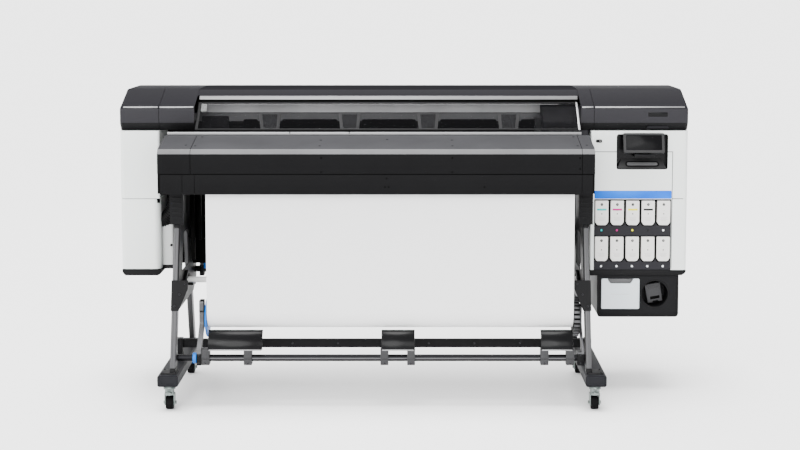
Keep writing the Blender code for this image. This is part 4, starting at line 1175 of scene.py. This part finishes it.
def interior():
    """What the window shows: beam cover, duct grilles, dark ducts, rail, belt, bed and rollers."""
    left = CAP_INNER[0] + 0.005
    right = CAP_INNER[1] - 0.005
    refinish("carriage_rail", RAIL_METAL)
    refinish("chassis_beam", BLACK_PAINT)
    cover = slab(rounded([(0.131, 1.276), (0.16, 1.276), (0.16, 1.356), (0.07, 1.356), (0.066, 1.348),
        (0.131, 1.32)], 0.004), "X", left, right)
    fix(eased(cover, 0.001, 2), "beam_cover", WALL_GREY)
    wall = block((LEFT_TOWER[1] + 0.004, 0.161, 1.086), (RIGHT_TOWER[0] - 0.004, 0.164, 1.276))
    fix(eased(wall, 0.001, 2), "beam_wall", BLACK_PAINT)
    frames = []
    meshes = []
    ducts = []
    centres = (-0.627, -0.255, 0.111, 0.487)
    for centre in centres:
        outer = [(centre - 0.052, 1.274), (centre + 0.052, 1.274), (centre + 0.044, 1.199),
            (centre - 0.044, 1.199)]
        inner = [(centre - 0.036, 1.268), (centre + 0.036, 1.268), (centre + 0.03, 1.204),
            (centre - 0.03, 1.204)]
        frames.append(carve(eased(slab(outer[::-1], "Y", 0.1225, 0.1298), 0.0008, 2),
            slab(inner[::-1], "Y", 0.11, 0.14)))
        meshes.append(slab(inner[::-1], "Y", 0.1262, 0.129))
    fix(frames, "duct_frames", DUCT_GREY)
    fix(meshes, "duct_meshes", FAN_MESH)
    edges = [left + 0.14] + list(centres) + [right - 0.1]
    for low, high in zip(edges, edges[1:]):
        outline = rounded(rectangle(low + 0.056, high - 0.056, 1.199, 1.245), 0.012)
        ducts.append(eased(slab(outline, "Y", 0.124, 0.1296), 0.002, 3))
    fix(ducts, "duct_covers", DEEP_BLACK)
    boxes = [eased(tile((left + 0.004, left + 0.128, 1.199, 1.26), 0.006, 0.1215, 0.1296), 0.002, 3),
        eased(tile((left + 0.02, left + 0.105, 1.212, 1.245), 0.005, 0.1195, 0.122), 0.002, 3)]
    fix(boxes, "left_service_cover", CHARCOAL)
    belt = []
    for z in (1.224, 1.184):
        belt.append(brick((LEFT_TOWER[1] + 0.02, 0.134, z), (RIGHT_TOWER[0] - 0.02, 0.136, z + 0.008),
            0.0004))
    fix(belt, "drive_belt", BELT)
    bed = []
    slats = 64
    for index in range(slats):
        x = left + 0.01 + (right - left - 0.02) * (index + 0.5) / slats
        bed.append(brick((x - 0.0115, -0.059, 1.1202), (x + 0.0115, 0.079, 1.123), 0.0008))
    fix(bed, "slatted_bed", PLATEN)
    rollers = []
    for index in range(12):
        x = SHEET_LOW.x + 0.06 + (SHEET_HIGH.x - SHEET_LOW.x - 0.12) * index / 11
        rollers.append(disc("X", (x, 0.096, 1.101), 0.015, 0.034, 0.003, 28))
    fix(rollers, "feed_rollers", RUBBER)
    web = slab([(-0.1, 1.1255), (0.15, 1.1255), (0.15, 1.125), (-0.1, 1.125)][::-1], "X", SHEET_LOW.x,
        SHEET_HIGH.x)
    web = fix(web, "media_on_bed", VINYL)


def carriage():
    node = "print_carriage"
    low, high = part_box(node)
    back = 0.1185
    outline = rounded([(low.y, low.z + 0.01), (back, low.z + 0.01), (back, high.z), (0.06, high.z),
        (low.y, 1.245)], 0.006)
    cover = eased(slab(outline, "X", low.x + 0.03, high.x), 0.006, 4)
    cover = carve(cover, tile((low.x + 0.055, high.x - 0.05, 1.16, 1.225), 0.006, -0.06, -0.032))
    put(cover, "carriage_cover", node, CHARCOAL, (node,))
    heads = []
    for index in range(5):
        x = low.x + 0.07 + index * 0.028
        heads.append(brick((x - 0.011, -0.0335, 1.164), (x + 0.011, -0.0325 + 0.003, 1.22), 0.0008))
    put(heads, "print_head_latches", node, HOLDER_GREY)
    shoe = brick((low.x + 0.04, back, 1.2765), (high.x - 0.01, high.y, high.z - 0.003), 0.002)
    put(shoe, "carriage_shoe", node, RAIL_METAL)
    cutter = gather([eased(tile((low.x, low.x + 0.03, 1.15, 1.262), 0.005, 0.0, 0.06), 0.003, 3),
        lathe([(0.0, 1.16), (0.009, 1.16), (0.009, 1.146), (0.004, 1.138), (0.0012, 1.133), (0.0, 1.133)],
        "Z", (low.x + 0.015, 0.03, 0.0), 24)])
    put(cutter, "blade_holder", node, HOLDER_GREY)


# ---------------------------------------------------------------- towers
def leant(thing, pivot, degrees):
    """Turn a shape about an X line through (Y, Z)."""
    thing = settle(thing)
    centre = Matrix.Translation((0.0, *pivot))
    thing.data.transform(centre @ Matrix.Rotation(radians(degrees), 4, "X") @ centre.inverted())
    return thing


def hull(corners):
    shape = bmesh.new()
    for corner in corners:
        shape.verts.new(corner)
    bmesh.ops.convex_hull(shape, input=shape.verts)
    bmesh.ops.dissolve_limit(shape, angle_limit=0.001, verts=shape.verts, edges=shape.edges)
    mesh = bpy.data.meshes.new("hull")
    shape.to_mesh(mesh)
    shape.free()
    return loose(mesh)


def plan(left, right, front, back, front_left, front_right, rear=0.012):
    """Plan outline of a cover with its own curve at each front corner."""
    points = arc((left + front_left, front + front_left), front_left, 180, 270, 10)
    points += arc((right - front_right, front + front_right), front_right, 270, 360, 10)
    points += arc((right - rear, back - rear), rear, 0, 90, 5)
    points += arc((left + rear, back - rear), rear, 90, 180, 5)
    return points


def cover_shell(outline, low, high, thickness=0.003, ease=0.0022):
    return skin(eased(open_up(slab(outline, "Z", low, high), [(0, 0, -1)]), ease, 3, 50), thickness)


def side_vents(side, low, high):
    vents = []
    for row in range(9):
        z = 0.64 + row * 0.016
        vents.append(eased(slab(rounded(rectangle(0.09, 0.29, z, z + 0.006), 0.0025), "X", low, high),
            0.0004, 2))
    fix(vents, side + "_tower_side_vents", DEEP_BLACK)


def rear_door(side, left, right):
    door = brick((left, TOWER_BACK - 0.001, 0.62), (right, TOWER_BACK + 0.0012, 1.15), 0.0008)
    fix(door, side + "_tower_rear_door", GREY_WHITE)


def left_tower():
    node = "left_tower_cover"
    left, right = LEFT_TOWER
    upper = cover_shell(plan(left, right, TOWER_FRONT, TOWER_BACK, 0.02, 0.01), SEAM_Z + 0.0012,
        TOWER_TOP)
    fix(upper, "left_tower_upper", WHITE, (node,))
    lower = cover_shell(plan(left, right, TOWER_FRONT, TOWER_BACK, 0.02, 0.03), 0.5735, SEAM_Z - 0.0012)
    fix(lower, "left_tower_lower", WHITE)
    # Painted shade: a deep black band inside the seam between the upper and lower shell stands for the
    # shade in the gap.
    liner = cover_shell(plan(left + 0.004, right - 0.004, TOWER_FRONT + 0.004, TOWER_BACK - 0.004, 0.018,
        0.01), SEAM_Z - 0.02, SEAM_Z + 0.012, 0.0015, 0.0005)
    fix(liner, "left_tower_seam_shade", DEEP_BLACK)
    inner = cover_shell(plan(right + 0.0005, right + 0.05, -0.02, TOWER_BACK - 0.03, 0.002, 0.012), 0.585,
        0.772, 0.0025, 0.001)
    fix(inner, "left_tower_inner_box", GREY_WHITE)
    lock = lathe([(0.0, 0.006), (0.005, 0.006), (0.006, 0.004), (0.006, -0.002), (0.0, -0.002)], "-Y",
        (right + 0.041, -0.0205, 0.676), 24)
    fix(lock, "left_tower_latch", BLACK)
    node = "left_tower_base"
    outline = [(left + 0.001, 0.572), (left + 0.002, 0.558), (left + 0.014, 0.5425),
        (right - 0.014, 0.5425), (right, 0.553), (right, 0.572)]
    base = slab(rounded(outline, 0.004), "Y", TOWER_FRONT + 0.0015, TOWER_BACK)
    fix(eased(base, 0.003, 3), "left_tower_tray", BLACK, (node,))
    step = slab(rounded([(right + 0.0005, 0.56), (right + 0.012, 0.566), (right + 0.049, 0.566),
        (right + 0.049, 0.584), (right + 0.0005, 0.584)], 0.003), "Y", -0.018, TOWER_BACK - 0.032)
    fix(eased(step, 0.002, 2), "left_tower_inner_tray", BLACK)
    rear_door("left", left + 0.05, right - 0.05)
    side_vents("left", left, left + 0.0012)


def hoses():
    """Corrugated ducts that turn out of the left tower up into the chassis."""
    right = LEFT_TOWER[1]
    for index, (y, reach, radius) in enumerate(((-0.01, 0.062, 0.035), (0.085, 0.058, 0.034))):
        knots = [(right - 0.012, y, 0.79), (right + 0.018, y, 0.8), (right + reach * 0.8, y, 0.842),
            (right + reach, y, 0.9), (right + reach + 0.002, y, 0.95)]
        path = smooth_path(knots, 30)
        radii = [1.0 if step % 6 < 3 else 0.88 for step in range(len(path))]
        put(pipe(path, radius, radii), "ribbed_duct_" + str(index + 1), MACHINE, BLACK, (), 30.0)
    bundle = []
    for index in range(4):
        offset = index * 0.01
        knots = [(right + 0.05 + offset, 0.06 + offset, 0.955), (right + 0.062 + offset, 0.064, 0.86),
            (right + 0.09 + offset * 0.6, 0.05 + offset, 0.76), (right + 0.128, 0.046 + offset, 0.69)]
        bundle.append(pipe(smooth_path(knots, 12), 0.0042))
    fix(bundle, "harness_in_bracket", RUBBER)


def right_tower():
    node = "right_tower_cover"
    left, right = RIGHT_TOWER
    bay_low, bay_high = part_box("ink_bay")
    cover = cover_shell(plan(left, right, TOWER_FRONT, TOWER_BACK, 0.004, 0.02), 0.569, TOWER_TOP)
    button_low, button_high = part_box("power_button")
    button = tile((button_low.x - 0.0008, button_high.x + 0.0008, button_low.z - 0.0008,
        button_high.z + 0.0008), 0.006, TOWER_FRONT - 0.01, TOWER_FRONT + 0.01)
    recess = tile(RECESS, 0.012, TOWER_FRONT - 0.01, TOWER_FRONT + 0.01)
    bay = block((bay_low.x - 0.0005, TOWER_FRONT - 0.01, 0.56), (bay_high.x + 0.0005, TOWER_FRONT + 0.01,
        bay_high.z + 0.0005))
    tools = [button, recess, bay]
    line = 0.0016
    depth = TOWER_FRONT + 0.0022
    tools.append(block((left - 0.01, TOWER_FRONT - 0.01, 1.112 - line),
        (RECESS[0] + 0.001, depth, 1.112 + line)))
    tools.append(block((RECESS[1] - 0.001, TOWER_FRONT - 0.01, 1.112 - line),
        (1.2215 + line, depth, 1.112 + line)))
    tools.append(block((1.2215 - line, TOWER_FRONT - 0.01, 0.56), (1.2215 + line, depth, 1.112)))
    tools.append(block((1.2215, TOWER_FRONT - 0.01, SEAM_Z - line), (right - 0.02, depth, SEAM_Z + line)))
    tools.append(carve(block((right - 0.0202, TOWER_FRONT - 0.01, SEAM_Z - line),
        (right + 0.01, TOWER_BACK - 0.03, SEAM_Z + line)),
        slab(plan(1.1, right - 0.0022, TOWER_FRONT + 0.0022, TOWER_BACK, 0.004, 0.0178), "Z", 0.85,
        0.95)))
    fix(carve(cover, *tools), "right_tower_shell", WHITE, (node,))
    # Painted shade: black strips laid on the groove floors stand for the shade in the seams.
    floor_of_groove = (TOWER_FRONT + 0.0012, TOWER_FRONT + 0.0024)
    seams = [((left + 0.003, 1.112), (RECESS[0] - 0.004, 1.112)),
        ((RECESS[1] + 0.004, 1.112), (1.2215, 1.112)), ((1.2215, 0.575), (1.2215, 1.112)),
        ((1.2215, SEAM_Z), (right - 0.021, SEAM_Z))]
    seam_shade_strips = []
    for (x1, z1), (x2, z2) in seams:
        seam_shade_strips.append(block((x1 - line, floor_of_groove[0], z1 - line),
            (x2 + line, floor_of_groove[1], z2 + line)))
    fix(seam_shade_strips, "right_tower_seam_shade", MARK_BLACK)
    low, high = RECESS[0], RECESS[1]
    tray = tile((low - 0.0022, high + 0.0022, RECESS[2] - 0.0022, RECESS[3] + 0.0022), 0.0135,
        TOWER_FRONT + 0.0008, -0.026)
    tray = carve(eased(tray, 0.0006, 2, 60), tile(RECESS, 0.012, TOWER_FRONT - 0.01, -0.028))
    fix(tray, "console_tray", GLOSS_BLACK)
    floor = RECESS[2] + 0.0015
    foot_y, back_y, top = TOWER_FRONT + 0.003, -0.0285, 1.078
    corners = []
    for x, y, z in ((low + 0.004, foot_y, floor), (low + 0.004, foot_y, floor + 0.003),
            (low + 0.026, back_y, top), (low + 0.026, back_y, floor)):
        corners.append((x, y, z))
        corners.append((low + high - x, y, z))
    ramp = eased(hull(corners), 0.0015, 2)
    fix(ramp, "console_ramp", SCREEN_FRAME)
    middle = (low + high) / 2 + 0.003
    slope = Vector((back_y - foot_y, top - floor - 0.003))
    lean = -(90.0 - slope.angle_signed(Vector((1.0, 0.0))) * 180.0 / pi)
    spot = Vector((foot_y, floor + 0.003)) + slope * 0.44
    rim = tile((middle - 0.076, middle + 0.076, spot.y - 0.0145, spot.y + 0.0145), 0.014, spot.x - 0.0018,
        spot.x + 0.001, 8)
    rim = carve(eased(rim, 0.0006, 2), tile((middle - 0.0705, middle + 0.0705, spot.y - 0.0092,
        spot.y + 0.0092), 0.009, spot.x - 0.01, spot.x + 0.01, 8))
    fix(leant(rim, tuple(spot), lean), "console_handle_rim", DEEP_BLACK)
    pad = tile((middle - 0.07, middle + 0.07, spot.y - 0.0088, spot.y + 0.0088), 0.0086, spot.x - 0.0022,
        spot.x + 0.001, 8)
    fix(leant(eased(pad, 0.001, 3), tuple(spot), lean), "console_handle", MARK_GREY)
    bracket = block((middle - 0.045, -0.1125, 1.0925), (middle + 0.045, -0.0285, 1.1035))
    barrels = [disc("X", (middle + dx, -0.1045, 1.1), 0.0066, 0.018, 0.0008, 24)
        for dx in (-0.034, 0.034)]
    fix([eased(bracket, 0.002, 3)] + barrels, "display_bracket", BLACK)
    lock = lathe([(0.0, 0.0022), (0.0034, 0.0022), (0.0042, 0.0012), (0.0042, -0.001), (0.0, -0.001)],
        "-Y", (left + 0.0075, TOWER_FRONT, 0.88), 20)
    fix(lock, "right_tower_lock", BLACK)
    stripe = tile((bay_low.x, bay_high.x + 0.0005, SEAM_Z + 0.0002, 0.934), 0.005, TOWER_FRONT - 0.0007,
        TOWER_FRONT + 0.001)
    fix(eased(stripe, 0.0004, 2), "blue_stripe", STRIPE)
    rear_door("right", left + 0.06, right - 0.06)
    inlet = tile((1.0, 1.052, 0.655, 0.69), 0.003, TOWER_BACK + 0.0008, TOWER_BACK + 0.004)
    socket = slab([(1.008, 0.661), (1.044, 0.661), (1.044, 0.678), (1.037, 0.684), (1.015, 0.684),
        (1.008, 0.678)], "Y", TOWER_BACK + 0.002, TOWER_BACK + 0.008)
    fix(carve(eased(inlet, 0.0004, 2), socket), "power_inlet", GLOSS_BLACK)
    side_vents("right", right - 0.0012, right)
    node = "right_tower_base"
    outline = [(left, 0.568), (right - 0.001, 0.568), (right - 0.002, 0.56), (right - 0.008, 0.551),
        (right - 0.022, 0.5435), (left, 0.5425)]
    base = slab(rounded(outline, 0.003), "Y", TOWER_FRONT + 0.0015, TOWER_BACK)
    fix(eased(base, 0.003, 3), "right_tower_tray", BLACK, (node,))


def controls():
    low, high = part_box("power_button")
    cap = tile((low.x, high.x, low.z, high.z), 0.0058, low.y, high.y, 6)
    put(eased(cap, 0.0012, 3), "power_button_cap", "power_button", BLACK,
        ("power_button",))
    ring = lathe([(0.0026, 0.0003), (0.0034, 0.0003), (0.0034, -0.0006), (0.0026, -0.0006)], "-Y",
        ((low.x + high.x) / 2 + 0.005, low.y, (low.z + high.z) / 2), 24, True)
    put(ring, "power_button_mark", "power_button", MARK_PALE)
    node = "display_panel"
    x, y, z = DISPLAY_PIVOT
    frame_body = tile((x - 0.093, x + 0.093, z - 0.004, z + 0.088), 0.007, y - 0.0065, y + 0.0065, 5)
    pocket = tile((x - 0.0815, x + 0.0815, z + 0.0085, z + 0.0785), 0.003, y - 0.02, y - 0.004)
    frame_body = carve(eased(frame_body, 0.0025, 4, 60), pocket)
    put(leant(frame_body, (y, z), DISPLAY_LEAN), "display_frame", node, SCREEN_FRAME, (node,))
    glass = tile((x - 0.0812, x + 0.0812, z + 0.0088, z + 0.0782), 0.0028, y - 0.005, y - 0.0038)
    put(leant(eased(glass, 0.0004, 2), (y, z), DISPLAY_LEAN), "display_glass", node, SCREEN)
    back = tile((x - 0.06, x + 0.06, z + 0.006, z + 0.07), 0.006, y + 0.006, y + 0.011)
    put(leant(eased(back, 0.002, 3), (y, z), DISPLAY_LEAN), "display_back", node, BLACK)


# ---------------------------------------------------------------- supplies
def cartridge_face(x, z, margin=0.0):
    half = 0.03 - margin
    return [(x - half, z + 0.014 + margin * 0.6), (x - half + 0.01 - margin * 0.3, z + margin),
        (x + half - 0.01 + margin * 0.3, z + margin), (x + half, z + 0.014 + margin * 0.6),
        (x + half, z + 0.112 - margin), (x - half, z + 0.112 - margin)]


def cartridges():
    refinish("ink_bay", BAY_GREY)
    front = -0.072
    bars = (CYAN, MAGENTA, YELLOW, MARK_BLACK, None)
    lamps = (CYAN, MAGENTA, YELLOW, MARK_BLACK, LAMP_WHITE)
    rims = []
    for row, z in enumerate(CARTRIDGE_ROWS):
        for column in range(5):
            x = CARTRIDGE_X + column * CARTRIDGE_PITCH
            name = "ink_cartridge_" + str(row * 5 + column + 1)
            case = eased(slab(rounded(cartridge_face(x, z), 0.004), "Y", front, front + 0.262), 0.0028, 4)
            put(case, name + "_case", name, CARTRIDGE_WHITE, (name,))
            plug = brick((x - 0.02, front + 0.2615, z + 0.03), (x + 0.02, front + 0.28, z + 0.08), 0.002)
            put(plug, name + "_connector", name, BLACK)
            icon = lathe([(0.0, 0.0004), (0.0058, 0.0004), (0.0062, 0.0001), (0.0062, -0.001),
                (0.0, -0.001)], "-Y", (x, front, z + 0.095), 28)
            dot = lathe([(0.0, 0.0004), (0.0026, 0.0004), (0.0029, 0.0001), (0.0029, -0.001),
                (0.0, -0.001)], "-Y", (x, front, z + 0.052), 20)
            put([icon, dot], name + "_icon", name, MARK_BLACK)
            eye = lathe([(0.0, 0.0006), (0.0015, 0.0006), (0.0018, 0.0003), (0.0018, -0.0004),
                (0.0, -0.0004)], "-Y", (x + 0.0005, front, z + 0.0956), 20)
            put(eye, name + "_icon_eye", name, MARK_PALE)
            lines = []
            for level, half in ((0.066, 0.006), (0.036, 0.016), (0.031, 0.013), (0.026, 0.015),
                    (0.021, 0.011)):
                lines.append(block((x - half, front - 0.0002, z + level),
                    (x + half, front + 0.001, z + level + 0.001)))
            put(lines, name + "_printed_lines", name, MARK_PALE)
            if row == 0 and bars[column]:
                bar = block((x - 0.0215, front - 0.0004, z + 0.0675),
                    (x + 0.0215, front + 0.001, z + 0.076))
                put(eased(bar, 0.0002, 2), name + "_colour_bar", name, bars[column])
            outer = [(px + (0.0046 if px > x else -0.0046), pz + (0.004 if pz > z + 0.05 else -0.004))
                for px, pz in cartridge_face(x, z)]
            ring = slab(rounded(outer, 0.004), "Y", TOWER_FRONT + 0.002, TOWER_FRONT + 0.006)
            hole = slab(rounded([(px + (0.0014 if px > x else -0.0014),
                pz + (0.0014 if pz > z + 0.05 else -0.0014)) for px, pz in cartridge_face(x, z)], 0.004),
                "Y", TOWER_FRONT - 0.01, TOWER_FRONT + 0.03)
            rims.append(carve(ring, hole))
            lamp = lathe([(0.0, 0.0026), (0.003, 0.002), (0.0046, 0.0008), (0.005, -0.001),
                (0.0, -0.001)], "-Y", (x, TOWER_FRONT + 0.0035, z - 0.0245), 28)
            finish = lamps[column] if row == 0 else LAMP_WHITE
            fix(lamp, name + "_lamp", finish)
    fix(rims, "pocket_rims", DEEP_BLACK)


def accessories():
    node = "accessory_box"
    refinish(node, BLACK)
    low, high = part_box(node)
    front = low.y
    rim = tile((low.x, high.x, low.z, high.z - 0.0005), 0.018, front - 0.0035, front + 0.0006, 6)
    rim = carve(eased(rim, 0.0012, 3), tile((low.x + 0.0065, high.x - 0.0065, low.z + 0.0065,
        high.z + 0.02), 0.014, front - 0.02, front + 0.02, 6))
    fix(rim, "accessory_rim", BLACK)
    panel_left, panel_right = low.x + 0.01, high.x - 0.01
    box_low, box_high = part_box("waste_container")
    plate = tile((panel_left, panel_right, low.z + 0.01, high.z - 0.004), 0.01, front - 0.0014,
        front - 0.0001)
    hole = tile((box_low.x - 0.0012, box_high.x + 0.0012, box_low.z - 0.0012, box_high.z + 0.0012), 0.004,
        front - 0.02, front + 0.02)
    bore = lathe([(0.0, 0.05), (0.0602, 0.05), (0.0602, -0.05), (0.0, -0.05)], "Y",
        (CHAMBER[0], front, CHAMBER[1]), 64)
    fix(carve(eased(plate, 0.0004, 2), hole, bore), "accessory_fascia", FASCIA)
    ring = lathe([(0.0604, 0.0022), (0.0655, 0.0026), (0.068, 0.001), (0.068, -0.001), (0.0604, -0.001)],
        "-Y", (CHAMBER[0], front - 0.0012, CHAMBER[1]), 72, True)
    fix(ring, "chamber_ring", BLACK)

    node = "waste_container"
    case = eased(tile((box_low.x, box_high.x, box_low.z, box_high.z), 0.007, box_low.y, box_high.y, 5),
        0.0022, 3)
    middle = (box_low.x + box_high.x) / 2
    inset = tile((box_low.x + 0.0085, box_high.x - 0.0085, box_low.z + 0.0085, box_high.z - 0.006), 0.006,
        box_low.y - 0.01, box_low.y + 0.0012)
    notch = slab(rounded([(middle - 0.058, box_high.z + 0.02), (middle - 0.058, box_high.z - 0.006),
        (middle - 0.046, box_high.z - 0.022), (middle + 0.046, box_high.z - 0.022),
        (middle + 0.058, box_high.z - 0.006), (middle + 0.058, box_high.z + 0.02)], 0.005), "Y",
        box_low.y - 0.01, box_low.y + 0.014)
    put(carve(case, inset, notch), "container_case", node, CONTAINER, (node,))
    tab = slab(rounded([(middle - 0.057, box_high.z - 0.001), (middle - 0.057, box_high.z - 0.0062),
        (middle - 0.0455, box_high.z - 0.0212), (middle + 0.0455, box_high.z - 0.0212),
        (middle + 0.057, box_high.z - 0.0062), (middle + 0.057, box_high.z - 0.001)], 0.004), "Y",
        box_low.y + 0.006, box_low.y + 0.0138)
    put(eased(tab, 0.0008, 2), "container_grip", node, MARK_GREY)
    line = block((middle - 0.045, box_low.y + 0.001, 0.455), (middle + 0.045, box_low.y + 0.002, 0.4562))
    put(line, "container_printed_line", node, MARK_PALE)

    node = "parking_rotor"
    disc_back = lathe([(0.0, 0.013), (0.0575, 0.013), (0.0585, 0.014), (0.0585, 0.052), (0.0575, 0.053),
        (0.0, 0.053)][::-1], "Y", (CHAMBER[0], 0.0, CHAMBER[1]), 64)
    put(disc_back, "rotor_disc", node, BLACK, (node,))
    x, z = CHAMBER
    holder = slab(rounded([(x - 0.034, z - 0.044), (x - 0.012, z - 0.044), (x - 0.01, z - 0.038),
        (x + 0.014, z - 0.038), (x + 0.016, z - 0.044), (x + 0.034, z - 0.044), (x + 0.036, z + 0.042),
        (x - 0.036, z + 0.042)], 0.003), "Y", -0.034, 0.0135)
    holder = eased(holder, 0.0022, 3)
    window_cut = block((x - 0.02, -0.06, z - 0.03), (x + 0.024, -0.032, z - 0.016))
    holder = carve(holder, window_cut)
    label = brick((x - 0.0195, -0.033, z - 0.0295), (x + 0.0235, -0.0318, z - 0.0165), 0.0003)
    grip = [brick((x - 0.03, -0.035, z + 0.03 - 0.006 * row), (x + 0.03, -0.0338,
        z + 0.0325 - 0.006 * row), 0.0005) for row in range(3)]
    spin = Matrix.Translation((x, 0.0, z)) @ Matrix.Rotation(radians(HOLDER_LEAN), 4,
        "Y") @ Matrix.Translation((-x, 0.0, -z))
    for thing, name, finish in ((holder, "spool_holder", HOLDER_GREY),
            (label, "holder_label", DEEP_BLACK), (gather(grip), "holder_grip", HOLDER_GREY)):
        thing = settle(thing)
        thing.data.transform(spin)
        put(thing, name, node, finish)


# ---------------------------------------------------------------- assembly
foot_beams()
struts()
leg_brackets()
braces()
casters()
roll_arms()
spindles()
media_web()
deflectors()
front_module()
hood()
rear_cover()
window()
interior()
carriage()
left_tower()
hoses()
right_tower()
controls()
cartridges()
accessories()
studio()
